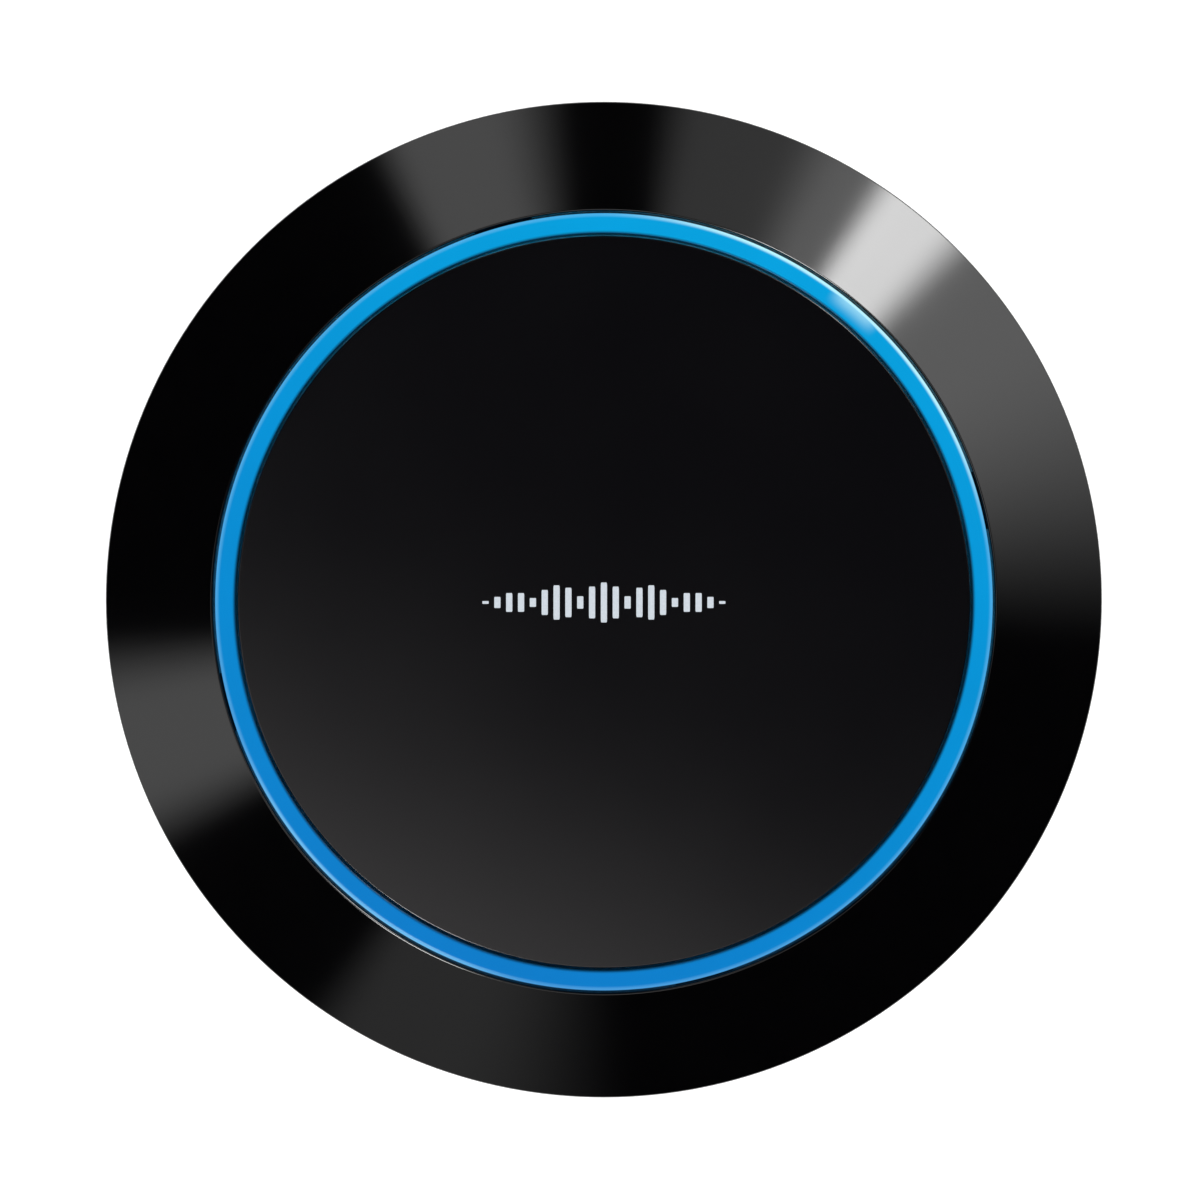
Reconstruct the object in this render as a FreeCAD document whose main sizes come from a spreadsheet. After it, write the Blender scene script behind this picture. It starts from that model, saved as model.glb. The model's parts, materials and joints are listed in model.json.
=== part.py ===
"""Round Bluetooth audio receiver: a puck with a sloped gloss rim, a light ring and a flat top plate.

Row frame in millimetres: +Z up, z = 0 on the surface that the feet stand on, the origin under the
middle of the puck. The sockets and the pairing button are in a recessed bay that faces +Y.

SIZES are the driving dimensions, which go into the spreadsheet. PLACES are worked out from them, and
every sketch, primitive and placement is bound to the sheet through formula().
"""

import FreeCAD, Part
import Sketcher
import math
import os
import re

SIZES = {
    # outside
    "overall_dia": 68.0,
    "overall_height": 19.5,
    # gloss rim
    "rim_width": 7.55,
    "rim_drop": 4.3,
    "rim_wall": 1.4,
    "rim_edge_round": 0.5,
    "rim_bore_round": 0.2,
    "skirt_height": 1.2,
    "skirt_wall": 1.4,
    "flange_wall": 1.1,
    # light ring and top plate
    "ring_band": 1.4,
    "ring_gap": 0.15,
    "ring_proud": 0.2,
    "ring_outer_round": 0.3,
    "ring_inner_round": 0.12,
    "tab_width": 4.0,
    "tab_height": 1.0,
    "tab_reach": 1.0,
    "tab_root": 0.6,
    "tab_clearance": 0.15,
    "leg_width": 2.0,
    "leg_depth": 0.9,
    "tabs_start": 15.0,
    "plate_sink": 0.15,
    "plate_thick": 0.8,
    "plate_bevel": 0.15,
    "tape_thick": 0.15,
    "tape_band": 4.0,
    "tape_inset": 0.6,
    # inner frame
    "deck_thick": 1.2,
    "tray_drop": 2.0,
    "tray_floor": 1.0,
    "tray_wall": 1.2,
    "tray_gap": 0.3,
    "rib_width": 0.8,
    "rib_height": 1.4,
    "ear_inset": 4.8,
    "ear_radius": 2.1,
    "pad_gap": 0.1,
    "pad_inset": 0.3,
    "gasket_thick": 0.4,
    # light board
    "light_board_thick": 0.8,
    "light_board_gap": 0.1,
    "led_length": 1.6,
    "led_width": 0.8,
    "led_height": 0.6,
    "led_air": 0.3,
    "flex_width": 3.6,
    "flex_thick": 0.15,
    "flex_bend": 1.5,
    "flex_slot_gap": 0.4,
    "flex_run": 4.5,
    "flex_entry": 1.0,
    "flex_rise": 0.7,
    "flex_socket_side": 1.2,
    "flex_socket_depth": 3.2,
    "flex_socket_height": 1.3,
    "flex_latch_side": 1.0,
    "flex_latch_depth": 1.0,
    "flex_latch_height": 0.35,
    # bottom shell
    "shell_step": 0.6,
    "shell_gap": 0.3,
    "shell_taper": 1.6,
    "shell_corner": 2.4,
    "shell_wall": 1.6,
    "shell_floor": 1.8,
    "tongue_wall": 0.7,
    "tongue_height": 0.6,
    "foot_dia": 9.0,
    "foot_thick": 1.5,
    "foot_proud": 0.8,
    "recess_gap": 0.1,
    "foot_round": 0.3,
    "label_length": 22.0,
    "label_width": 12.0,
    "label_thick": 0.15,
    # port bay
    "bay_depth": 4.4,
    "bay_width": 26.0,
    "bay_sill": 2.6,
    "bay_head": 1.0,
    "bay_corner": 1.5,
    "roof_gap": 0.15,
    # main board
    "board_stand": 2.0,
    "board_thick": 1.2,
    "board_margin": 2.7,
    "board_gap": 0.4,
    "board_hole_gap": 0.3,
    "post_dia": 3.2,
    # screws
    "screw_inset": 3.3,
    "case_screw_dia": 2.0,
    "case_screw_length": 8.0,
    "case_head_dia": 3.8,
    "case_head_height": 1.4,
    "ear_screw_dia": 1.6,
    "ear_screw_length": 2.9,
    "ear_head_dia": 2.8,
    "ear_head_height": 0.9,
    "drive_width": 0.5,
    "drive_depth": 0.6,
    "screw_clearance": 0.2,
    "pilot_clearance": 0.02,
    "pilot_spare": 0.2,
    "boss_wall": 1.1,
    "frame_boss_wall": 1.5,
    # audio jack, a 3.5 mm socket
    "jack_across": 7.2,
    "jack_width": 6.4,
    "jack_length": 13.0,
    "jack_height": 5.0,
    "jack_axis_up": 2.5,
    "jack_bore_dia": 3.6,
    "jack_bore_depth": 14.0,
    "jack_nose_dia": 6.0,
    "jack_face_sink": 0.1,
    "nose_gap": 0.15,
    "bush_wall": 0.5,
    "bush_length": 3.5,
    "spring_width": 1.2,
    "spring_thick": 0.3,
    "spring_air": 0.05,
    "spring_break": 0.2,
    "spring_tail": 0.9,
    "jack_roof": 0.6,
    "spring_start": 2.72,
    "spring_pitch": 3.4,
    # power socket, a Micro-B receptacle
    "power_across": 7.6,
    "power_width": 7.6,
    "power_height": 2.7,
    "power_depth": 5.4,
    "power_sheet": 0.3,
    "power_bevel": 0.8,
    "power_face_sink": 0.4,
    "power_slot_gap": 0.45,
    "tongue_across": 3.7,
    "tongue_thick": 0.7,
    "tongue_depth": 3.8,
    "tongue_drop": 0.55,
    "power_root_depth": 1.0,
    "contact_width": 0.3,
    "contact_length": 2.4,
    "contact_pitch": 0.65,
    "contact_thick": 0.12,
    # pairing button and its switch
    "button_dia": 4.0,
    "button_proud": 0.8,
    "button_round": 0.3,
    "button_gap": 0.15,
    "button_axis_up": 2.2,
    "button_travel": 0.3,
    "button_flange_dia": 5.6,
    "button_flange": 0.7,
    "button_flange_gap": 0.1,
    "switch_width": 6.0,
    "switch_depth": 3.4,
    "switch_height": 4.2,
    "switch_face_gap": 1.2,
    "switch_wall": 0.5,
    "plunger_dia": 2.4,
    "plunger_gap": 0.08,
    "dome_height": 0.4,
    "dome_thick": 0.15,
    "dome_gap": 0.02,
    "dome_edge_gap": 0.05,
}

PLACES = {
    # rim, ring and plate
    "overall_r": "overall_dia / 2",
    "rim_bore_r": "overall_r - rim_width",
    "ring_outer_r": "rim_bore_r - ring_gap",
    "ring_inner_r": "ring_outer_r - ring_band",
    "ring_middle_r": "(ring_outer_r + ring_inner_r) / 2",
    "plate_r": "ring_inner_r - ring_gap",
    "rim_top": "overall_height - ring_proud",
    "rim_edge": "rim_top - rim_drop",
    "rim_slope": "rim_drop / rim_width",
    "rim_under_drop": "rim_wall * sqrt(1 + rim_slope * rim_slope)",
    "skirt_bottom": "rim_edge - skirt_height",
    "skirt_inner_r": "overall_r - skirt_wall",
    "flange_outer_r": "rim_bore_r + flange_wall",
    "plate_top": "overall_height - plate_sink",
    "plate_bottom": "plate_top - plate_thick",
    "deck_top": "plate_bottom - tape_thick",
    "deck_bottom": "deck_top - deck_thick",
    # inner frame and light board
    "tray_bottom": "rim_edge - tray_drop",
    "tray_top": "tray_bottom + tray_floor",
    "tray_wall_outer_r": "ring_inner_r - tray_gap",
    "tray_wall_inner_r": "tray_wall_outer_r - tray_wall",
    "flange_bottom": "tray_top + gasket_thick",
    "light_board_top": "tray_top + light_board_thick",
    "light_board_inner_r": "tray_wall_outer_r + light_board_gap",
    "light_board_outer_r": "rim_bore_r - light_board_gap",
    "ring_bottom": "light_board_top + led_height + led_air",
    "tab_top": "ring_bottom + tab_height",
    "ear_r": "overall_r - ear_inset",
    # bottom shell
    "shell_top": "skirt_bottom - shell_gap",
    "shell_top_r": "overall_r - shell_step",
    "shell_base_r": "shell_top_r - shell_taper",
    "tongue_top": "shell_top + tongue_height",
    "tongue_outer_r": "shell_top_r - shell_wall + tongue_wall",
    "floor_top": "foot_proud + shell_floor",
    "foot_seat": "foot_thick",
    "foot_recess_r": "foot_dia / 2 + recess_gap",
    "screw_seat": "foot_seat + case_head_height + recess_gap",
    # port bay and main board
    "bay_face": "shell_top_r - bay_depth",
    "bay_back": "bay_face - shell_wall",
    "bay_bottom": "foot_proud + bay_sill",
    "roof_top": "tray_bottom - roof_gap",
    "bay_top": "roof_top - bay_head",
    "board_bottom": "floor_top + board_stand",
    "board_top": "board_bottom + board_thick",
    "board_r": "shell_base_r - shell_wall - board_margin",
    "board_flat": "flange_back - button_travel - board_gap",
    "screw_r": "board_r - screw_inset",
    "case_boss_r": "case_screw_dia / 2 + pilot_clearance + frame_boss_wall",
    "shell_boss_r": "case_head_dia / 2 + screw_clearance + boss_wall",
    "post_front_y": "0 - board_r + screw_inset",
    "flex_level": "board_top + flex_rise",
    "flex_end_y": "0 - ring_middle_r + flex_run",
    # sockets
    "jack_axis": "board_top + jack_axis_up",
    "jack_bore_r": "jack_bore_dia / 2",
    "jack_face": "bay_face - jack_face_sink",
    "jack_front": "bay_back - nose_gap",
    "jack_back": "jack_front - jack_length",
    "jack_post_y": "jack_back + jack_length / 2",
    "power_face": "bay_face - power_face_sink",
    "power_back": "power_face - power_depth",
    "power_middle": "board_top + power_height / 2",
    # button
    "button_axis": "board_top + button_axis_up",
    "button_face": "bay_face + button_proud",
    "flange_front": "bay_back - button_flange_gap",
    "flange_back": "flange_front - button_flange",
    "switch_front": "flange_back - switch_face_gap",
    "switch_back": "switch_front - switch_depth",
    "dome_seat": "switch_back + switch_wall",
    "plunger_back": "dome_seat + dome_height + button_travel + dome_gap",
}

SCREW_ANGLES = [45, 135, 225, 315]
EAR_ANGLES = [45, 135, 225, 315]
LED_ANGLES = range(0, 360, 30)
RIB_ANGLES = range(0, 180, 45)
MARGIN = 1.0  # how far a cutting tool runs past what it cuts
BITE = 0.2  # how far a piece runs into the one that it is fused to
DRIVE_SHARE = 0.6  # length of a screw's cross slots, as a share of its head's width

# Length, width and height of each packaged component.
PACKAGES = {
    "radio_board": (10.0, 14.0, 0.8),
    "shield": (9.0, 9.0, 1.8),
    "radio_chip": (6.0, 6.0, 0.9),
    "chip_antenna": (5.0, 1.8, 1.1),
    "crystal": (3.2, 2.5, 0.8),
    "audio_converter": (5.0, 5.0, 0.9),
    "line_driver": (5.0, 3.9, 1.5),
    "memory_chip": (5.0, 3.9, 1.5),
    "regulator": (2.9, 1.6, 1.1),
    "power_coil": (4.4, 4.4, 2.2),
    "ceramic_capacitors": (0.6, 1.0, 0.5),
    "resistors": (0.6, 1.0, 0.35),
}
SHIELD_SHEET = 0.2  # thickness of the radio shield
CHIP_STAND = 0.1  # height of a legged chip's body over the board
LEG_WIDTH, LEG_FOOT, LEG_THICK = 0.4, 1.0, 0.2
CAN_DIA, CAN_HEIGHT = 4.0, 5.4  # surface-mount electrolytic capacitor
CAN_BASE_SIDE, CAN_BASE_HEIGHT = 4.3, 0.6
CRIMP_OUT, CRIMP_ROUND, CRIMP_UP = 0.1, 0.25, 1.6

doc = FreeCAD.newDocument("audio_receiver")
nodes = {}


# ---------------------------------------------------------------- the sheet and its formulas


def make_sheet():
    """The spreadsheet of driving dimensions, one named cell each."""
    sheet = doc.addObject("Spreadsheet::Sheet", "dims")
    for row, (name, value) in enumerate(SIZES.items(), start=1):
        sheet.set(f"A{row}", name)
        sheet.set(f"B{row}", str(value))
        sheet.setAlias(f"B{row}", name)
    doc.recompute()
    return sheet


def formula(text):
    """An expression on the sheet, from a text that uses the names in SIZES and PLACES."""

    def spelled_out(match):
        word = match.group(0)
        if word in SIZES:
            return f"dims.{word}"
        if word in PLACES:
            return f"({formula(PLACES[word])})"
        return word

    return re.sub(r"[a-z][a-z_]*", spelled_out, str(text))


def value(text):
    """What a formula comes to now."""
    return float(sheet.evalExpression(formula(text)))


def bind(thing, **properties):
    """Binds properties to formulas. In a property's name, a double underscore stands for a dot."""
    for name, text in properties.items():
        thing.setExpression(name.replace("__", "."), formula(text))


# ---------------------------------------------------------------- ways to make a piece


def keep(name, thing):
    """thing is a finished piece, exported under this name."""
    thing.Label = name
    nodes[name] = thing
    return thing


def plane_of(body, role):
    return next(f for f in body.Origin.OriginFeatures if f.Role == role)


def outline(body, name, role, corners, offset="0"):
    """A closed sketch of straight lines whose corners are formulas, on one of the body's planes."""
    sketch = body.newObject("Sketcher::SketchObject", name)
    sketch.AttachmentSupport = [(plane_of(body, role), "")]
    sketch.MapMode = "FlatFace"
    bind(sketch, AttachmentOffset__Base__z=offset)
    points = [FreeCAD.Vector(value(x), value(y), 0) for x, y in corners]
    for here, there in zip(points, points[1:] + points[:1]):
        sketch.addGeometry(Part.LineSegment(here, there), False)
    for i in range(len(corners)):
        after = (i + 1) % len(corners)
        sketch.addConstraint(Sketcher.Constraint("Coincident", i, 2, after, 1))
    for i, corner in enumerate(corners):
        for axis, text, now in zip("XY", corner, points[i]):
            size = Sketcher.Constraint(f"Distance{axis}", -1, 1, i, 1, now)
            label = f"corner_{i}_{axis.lower()}"
            sketch.renameConstraint(sketch.addConstraint(size), label)
            sketch.setExpression(f"Constraints.{label}", formula(text))
    return sketch


def circles_at(shape, radius, height):
    """Names of the round edges about the Z axis at this radius and height."""
    found = []
    for i, edge in enumerate(shape.Edges, start=1):
        curve = edge.Curve
        if not isinstance(curve, Part.Circle):
            continue
        off_axis = math.hypot(curve.Center.x, curve.Center.y)
        if off_axis + abs(curve.Radius - radius) + abs(curve.Center.z - height) < 1e-4:
            found.append(f"Edge{i}")
    return found


def edges_along_x(shape, y, z):
    """Names of the straight edges that run along X through this (y, z)."""
    found = []
    for i, edge in enumerate(shape.Edges, start=1):
        ends = [vertex.Point for vertex in edge.Vertexes]
        if all(abs(end.y - y) + abs(end.z - z) < 1e-4 for end in ends):
            found.append(f"Edge{i}")
    return found


def turned(name, corners, rounds=(), bevels=()):
    """A body of revolution about Z. Corners are (radius, height). rounds and bevels are
    (radius, height, size) for the edges to round or bevel."""
    body = doc.addObject("PartDesign::Body", name)
    profile = outline(body, f"{name}_profile", "XZ_Plane", corners)
    turn = body.newObject("PartDesign::Revolution", f"{name}_turn")
    turn.Profile = profile
    turn.ReferenceAxis = (profile, ["V_Axis"])
    turn.Angle = 360
    doc.recompute()
    last = turn
    edges = [("Fillet", "Radius", *r) for r in rounds] + [("Chamfer", "Size", *b) for b in bevels]
    for n, (kind, prop, radius, height, size) in enumerate(edges):
        finish = body.newObject(f"PartDesign::{kind}", f"{name}_{kind.lower()}_{n}")
        finish.Base = (last, circles_at(last.Shape, value(radius), value(height)))
        bind(finish, **{prop: size})
        doc.recompute()
        last = finish
    return body


def padded_outline(name, role, corners, offset, length):
    """A body made by padding an outline along its plane's normal, both ways from the offset."""
    body = doc.addObject("PartDesign::Body", name)
    profile = outline(body, f"{name}_profile", role, corners, offset)
    pad = body.newObject("PartDesign::Pad", f"{name}_pad")
    pad.Profile = profile
    pad.Midplane = True
    bind(pad, Length=length)
    doc.recompute()
    return body


def block(name, size, at, turn="0"):
    """A box of (x, y, z) size that stands on the point at, its middle turned about Z."""
    box = doc.addObject("Part::Box", name)
    (x, y, z), (length, width, height) = at, size
    bind(box, Length=length, Width=width, Height=height, Placement__Rotation__Angle=turn)
    bind(
        box,
        Placement__Base__x=f"({x}) - ({length})/2*cos({turn}) + ({width})/2*sin({turn})",
        Placement__Base__y=f"({y}) - ({length})/2*sin({turn}) - ({width})/2*cos({turn})",
        Placement__Base__z=z,
    )
    return box


def at_angle(radius, angle, height):
    """A point at this radius and angle about Z."""
    return f"({radius})*cos({angle})", f"({radius})*sin({angle})", height


def rod(name, radius, length, at, along="z"):
    """A cylinder that starts at the point at and runs along +Z or +Y."""
    cylinder = doc.addObject("Part::Cylinder", name)
    if along == "y":
        cylinder.Placement.Rotation = FreeCAD.Rotation(FreeCAD.Vector(1, 0, 0), -90)
    x, y, z = at
    bind(cylinder, Radius=radius, Height=length)
    bind(cylinder, Placement__Base__x=x, Placement__Base__y=y, Placement__Base__z=z)
    return cylinder


def rounded(name, thing, picks, size):
    """A primitive with some of its edges rounded: picks(edge) says which."""
    doc.recompute()
    made = doc.addObject("Part::Fillet", name)
    made.Base = thing
    chosen = [i for i, edge in enumerate(thing.Shape.Edges, start=1) if picks(edge)]
    made.Edges = [(i, value(size), value(size)) for i in chosen]
    return made


def is_circle_at(axis, place):
    """Picks the round edges whose centre is at this place along an axis."""

    def picks(edge):
        curve = edge.Curve
        return isinstance(curve, Part.Circle) and abs(getattr(curve.Center, axis) - place) < 1e-6

    return picks


def runs_along_y(edge):
    """Picks the straight edges that run along Y."""
    start, end = (vertex.Point for vertex in edge.Vertexes)
    return abs(start.x - end.x) + abs(start.z - end.z) < 1e-6


def fused(name, *shapes):
    made = doc.addObject("Part::MultiFuse", name)
    made.Shapes = list(shapes)
    return made


def without(name, base, *tools):
    """base with the tools cut out of it."""
    made = doc.addObject("Part::Cut", name)
    made.Base = base
    made.Tool = tools[0] if len(tools) == 1 else fused(f"{name}_tools", *tools)
    return made


def set_of(name, pieces):
    """Separate solids that share one node."""
    made = doc.addObject("Part::Compound", name)
    made.Links = list(pieces)
    return made


def screw(name, at, seat, up, shank_dia, length, head_dia, head_height):
    """A cross-head screw that is driven upwards: its head hangs under the seat height."""
    x, y = at
    head = rod(f"{name}_head", f"{head_dia}/2", head_height, (x, y, f"{seat} - {head_height}"))
    shank = rod(f"{name}_shank", f"{shank_dia}/2", length, (x, y, seat))
    slots = [
        block(
            f"{name}_slot_{turn}",
            (f"{head_dia}*{DRIVE_SHARE}", "drive_width", "drive_depth"),
            (x, y, f"{seat} - {head_height}"),
            turn,
        )
        for turn in (up, up + 90)
    ]
    return without(name, fused(f"{name}_blank", head, shank), *slots)


# ---------------------------------------------------------------- the outside


def top_bezel():
    """Gloss rim: a cone from the light ring down to the widest edge, with a skirt and a flange."""

    def rim_z(radius):
        return f"(rim_top - (({radius}) - rim_bore_r) * rim_slope)"

    cone = turned(
        "bezel_cone",
        [
            ("rim_bore_r", "flange_bottom"),
            ("rim_bore_r", "rim_top"),
            ("overall_r", "rim_edge"),
            ("overall_r", "skirt_bottom"),
            ("skirt_inner_r", "skirt_bottom"),
            ("skirt_inner_r", f"{rim_z('skirt_inner_r')} - rim_under_drop"),
            ("flange_outer_r", f"{rim_z('flange_outer_r')} - rim_under_drop"),
            ("flange_outer_r", "flange_bottom"),
        ],
        rounds=[
            ("rim_bore_r", "rim_top", "rim_bore_round"),
            ("overall_r", "rim_edge", "rim_edge_round"),
        ],
    )
    inner, outer = "rim_bore_r + pad_inset", "overall_r - pad_inset"
    under_skin = turned(
        "bezel_under_skin",
        [
            (inner, "tray_top"),
            (inner, f"{rim_z(inner)} - rim_wall / 2"),
            (outer, f"{rim_z(outer)} - rim_wall / 2"),
            (outer, "tray_top"),
        ],
    )
    pads, pilots = [], []
    for a in EAR_ANGLES:
        at = at_angle("ear_r", a, "tray_top")
        pads.append(rod(f"bezel_pad_{a}", "ear_radius - pad_gap", "rim_top - tray_top", at))
        depth = "ear_screw_length - tray_floor + pilot_spare"
        pilots.append(rod(f"bezel_pilot_{a}", "ear_screw_dia/2 + pilot_clearance", depth, at))
    notches = [
        block(
            f"bezel_notch_{n}",
            (
                "flange_wall * 2 + ring_gap",
                "tab_width + tab_clearance * 2",
                "tab_top + tab_clearance - tray_top",
            ),
            at_angle("rim_bore_r + flange_wall / 2", f"(tabs_start + {n * 90})", "tray_top"),
            f"(tabs_start + {n * 90})",
        )
        for n in range(4)
    ]
    trimmed = doc.addObject("Part::Common", "bezel_pads")
    trimmed.Base, trimmed.Tool = fused("bezel_tall_pads", *pads), under_skin
    solid = fused("bezel_solid", cone, trimmed)
    keep("top_bezel", without("top_bezel", solid, *pilots, *notches))


def light_ring():
    """Blue diffuser: the band round the plate, with tabs that the bezel holds down."""
    band = turned(
        "ring_band",
        [
            ("ring_inner_r", "ring_bottom"),
            ("ring_outer_r", "ring_bottom"),
            ("ring_outer_r", "overall_height"),
            ("ring_inner_r", "overall_height"),
        ],
        rounds=[
            ("ring_outer_r", "overall_height", "ring_outer_round"),
            ("ring_inner_r", "overall_height", "ring_inner_round"),
        ],
    )
    parts = [band]
    for n in range(4):
        turn = f"(tabs_start + {n * 90})"
        tab_at = at_angle("ring_outer_r + (tab_reach - tab_root) / 2", turn, "ring_bottom")
        parts.append(
            block(f"ring_tab_{n}", ("tab_reach + tab_root", "tab_width", "tab_height"), tab_at, turn)
        )
        leg_at = at_angle("ring_middle_r", turn, "light_board_top")
        leg_size = ("leg_depth", "leg_width", f"ring_bottom - light_board_top + {BITE}")
        parts.append(block(f"ring_leg_{n}", leg_size, leg_at, turn))
    keep("light_ring", fused("light_ring", *parts))


def top_plate():
    """Flat gloss disc inside the light ring, and the tape that holds it on the frame's deck."""
    keep(
        "top_plate",
        turned(
            "top_plate",
            [
                ("0", "plate_bottom"),
                ("plate_r", "plate_bottom"),
                ("plate_r", "plate_top"),
                ("0", "plate_top"),
            ],
            bevels=[("plate_r", "plate_top", "plate_bevel")],
        ),
    )
    keep(
        "plate_tape",
        turned(
            "plate_tape",
            [
                ("plate_r - tape_inset - tape_band", "deck_top"),
                ("plate_r - tape_inset", "deck_top"),
                ("plate_r - tape_inset", "plate_bottom"),
                ("plate_r - tape_inset - tape_band", "plate_bottom"),
            ],
        ),
    )


def bottom_shell():
    """Matt lower casing with the port bay, foot recesses, screw bosses and board posts."""
    outside = turned(
        "shell_outside",
        [
            ("0", "foot_proud"),
            ("shell_base_r", "foot_proud"),
            ("shell_top_r", "shell_top"),
            ("tongue_outer_r", "shell_top"),
            ("tongue_outer_r", "tongue_top"),
            ("0", "tongue_top"),
        ],
        rounds=[("shell_base_r", "foot_proud", "shell_corner")],
    )
    hollow = turned(
        "shell_hollow",
        [
            ("0", "floor_top"),
            ("shell_base_r - shell_wall", "floor_top"),
            ("shell_top_r - shell_wall", "tongue_top"),
            ("shell_top_r - shell_wall", f"tongue_top + {MARGIN}"),
            ("0", f"tongue_top + {MARGIN}"),
        ],
    )
    behind_bay = block(
        "behind_bay",
        ("bay_width + shell_wall * 2", "bay_depth * 2", "roof_top - foot_proud"),
        ("0", "bay_back + bay_depth", "foot_proud"),
    )
    cup = without("shell_cup", outside, without("shell_room", hollow, behind_bay))
    bay = block(
        "bay_space",
        ("bay_width", "bay_depth * 2", "bay_top - bay_bottom"),
        ("0", "bay_face + bay_depth", "bay_bottom"),
    )
    solids, cuts = [cup], [rounded("bay_rounded", bay, runs_along_y, "bay_corner")]
    stand = f"board_bottom - floor_top + {BITE}"
    for a in SCREW_ANGLES:
        at_floor = at_angle("screw_r", a, f"floor_top - {BITE}")
        solids.append(rod(f"shell_boss_{a}", "shell_boss_r", stand, at_floor))
        at_foot = at_angle("screw_r", a, f"foot_proud - {MARGIN}")
        depth = f"foot_seat - foot_proud + {MARGIN}"
        cuts.append(rod(f"foot_recess_{a}", "foot_recess_r", depth, at_foot))
        well = f"screw_seat - foot_proud + {MARGIN}"
        cuts.append(rod(f"head_well_{a}", "case_head_dia/2 + screw_clearance", well, at_foot))
        cuts.append(
            rod(f"screw_way_{a}", "case_screw_dia/2 + screw_clearance", "board_top", at_foot)
        )
    posts = [("jack_across", "jack_post_y"), ("0 - power_across", "power_back"), ("0", "post_front_y")]
    for n, (x, y) in enumerate(posts):
        at = (x, y, f"floor_top - {BITE}")
        solids.append(rod(f"board_post_{n}", "post_dia/2", stand, at))
    wall_y = f"bay_back - {MARGIN}"
    through = f"shell_wall + {MARGIN * 2}"
    nose_hole = rod(
        "nose_hole", "jack_nose_dia/2 + nose_gap", through, ("jack_across", wall_y, "jack_axis"), "y"
    )
    button_hole = rod(
        "button_hole", "button_dia/2 + button_gap", through, ("0", wall_y, "button_axis"), "y"
    )
    slot_height = "(power_height + power_slot_gap * 2)"
    power_slot = block(
        "power_slot",
        ("power_width + power_slot_gap * 2", through, slot_height),
        ("0 - power_across", "bay_back + shell_wall / 2", f"power_middle - {slot_height} / 2"),
    )
    label_recess = block(
        "label_recess",
        ("label_length + recess_gap * 2", "label_width + recess_gap * 2", f"label_thick + {MARGIN}"),
        ("0", "0", f"foot_proud - {MARGIN}"),
    )
    solid = fused("shell_solid", *solids)
    keep(
        "bottom_shell",
        without("bottom_shell", solid, *cuts, nose_hole, button_hole, power_slot, label_recess),
    )


def feet_and_label():
    """Rubber feet over the case screws, and the blank rating label."""
    feet = []
    for a in SCREW_ANGLES:
        pad = rod(f"foot_{a}", "foot_dia/2", "foot_thick", at_angle("screw_r", a, "0"))
        feet.append(rounded(f"rounded_foot_{a}", pad, is_circle_at("z", 0), "foot_round"))
    keep("rubber_feet", set_of("rubber_feet", feet))
    keep(
        "rating_label",
        block("rating_label", ("label_length", "label_width", "label_thick"), ("0", "0", "foot_proud")),
    )


# ---------------------------------------------------------------- the frame and its lights


def inner_frame():
    """White frame: the deck under the plate, the tray for the light board, ears and bosses."""
    tray = turned(
        "frame_tray",
        [
            ("0", "deck_bottom"),
            ("tray_wall_inner_r", "deck_bottom"),
            ("tray_wall_inner_r", "tray_bottom"),
            ("flange_outer_r", "tray_bottom"),
            ("flange_outer_r", "tray_top"),
            ("tray_wall_outer_r", "tray_top"),
            ("tray_wall_outer_r", "deck_top"),
            ("0", "deck_top"),
        ],
    )
    solids, holes = [tray], []
    for a in EAR_ANGLES:
        at = at_angle("ear_r", a, "tray_bottom")
        solids.append(rod(f"ear_{a}", "ear_radius", "tray_floor", at))
        neck_at = at_angle("(ear_r + rim_bore_r)/2", a, "tray_bottom")
        solids.append(
            block(f"ear_neck_{a}", ("ear_r - rim_bore_r", "ear_radius*2", "tray_floor"), neck_at, a)
        )
        holes.append(rod(f"ear_hole_{a}", "ear_screw_dia/2 + screw_clearance/2", "tray_floor", at))
    for a in SCREW_ANGLES:
        at = at_angle("screw_r", a, "board_top")
        solids.append(rod(f"frame_boss_{a}", "case_boss_r", "tray_top - board_top", at))
        depth = "case_screw_length + screw_seat - board_top + pilot_spare"
        holes.append(rod(f"frame_pilot_{a}", "case_screw_dia/2 + pilot_clearance", depth, at))
    for a in RIB_ANGLES:
        size = (f"tray_wall_inner_r * 2 + {BITE * 2}", "rib_width", f"rib_height + {BITE}")
        solids.append(block(f"deck_rib_{a}", size, ("0", "0", "deck_bottom - rib_height"), a))
    flex_slot = block(
        "flex_slot",
        ("flex_width + flex_slot_gap * 2", "light_board_outer_r - light_board_inner_r", "tray_floor"),
        ("0", "0 - ring_middle_r", "tray_bottom"),
    )
    keep("inner_frame", without("inner_frame", fused("frame_solid", *solids), *holes, flex_slot))


def light_board():
    """Ring-shaped board with its diodes, the foam that stops stray light, and the flat lead."""
    keep(
        "light_board",
        turned(
            "light_board",
            [
                ("light_board_inner_r", "tray_top"),
                ("light_board_outer_r", "tray_top"),
                ("light_board_outer_r", "light_board_top"),
                ("light_board_inner_r", "light_board_top"),
            ],
        ),
    )
    keep(
        "light_gasket",
        turned(
            "light_gasket",
            [
                ("rim_bore_r", "tray_top"),
                ("ear_r - ear_radius", "tray_top"),
                ("ear_r - ear_radius", "flange_bottom"),
                ("rim_bore_r", "flange_bottom"),
            ],
        ),
    )
    diodes = [
        block(
            f"diode_{a}",
            ("led_width", "led_length", "led_height"),
            at_angle("ring_middle_r", a, "light_board_top"),
            a,
        )
        for a in LED_ANGLES
    ]
    keep("ring_leds", set_of("ring_leds", diodes))
    flat_lead()


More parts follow.
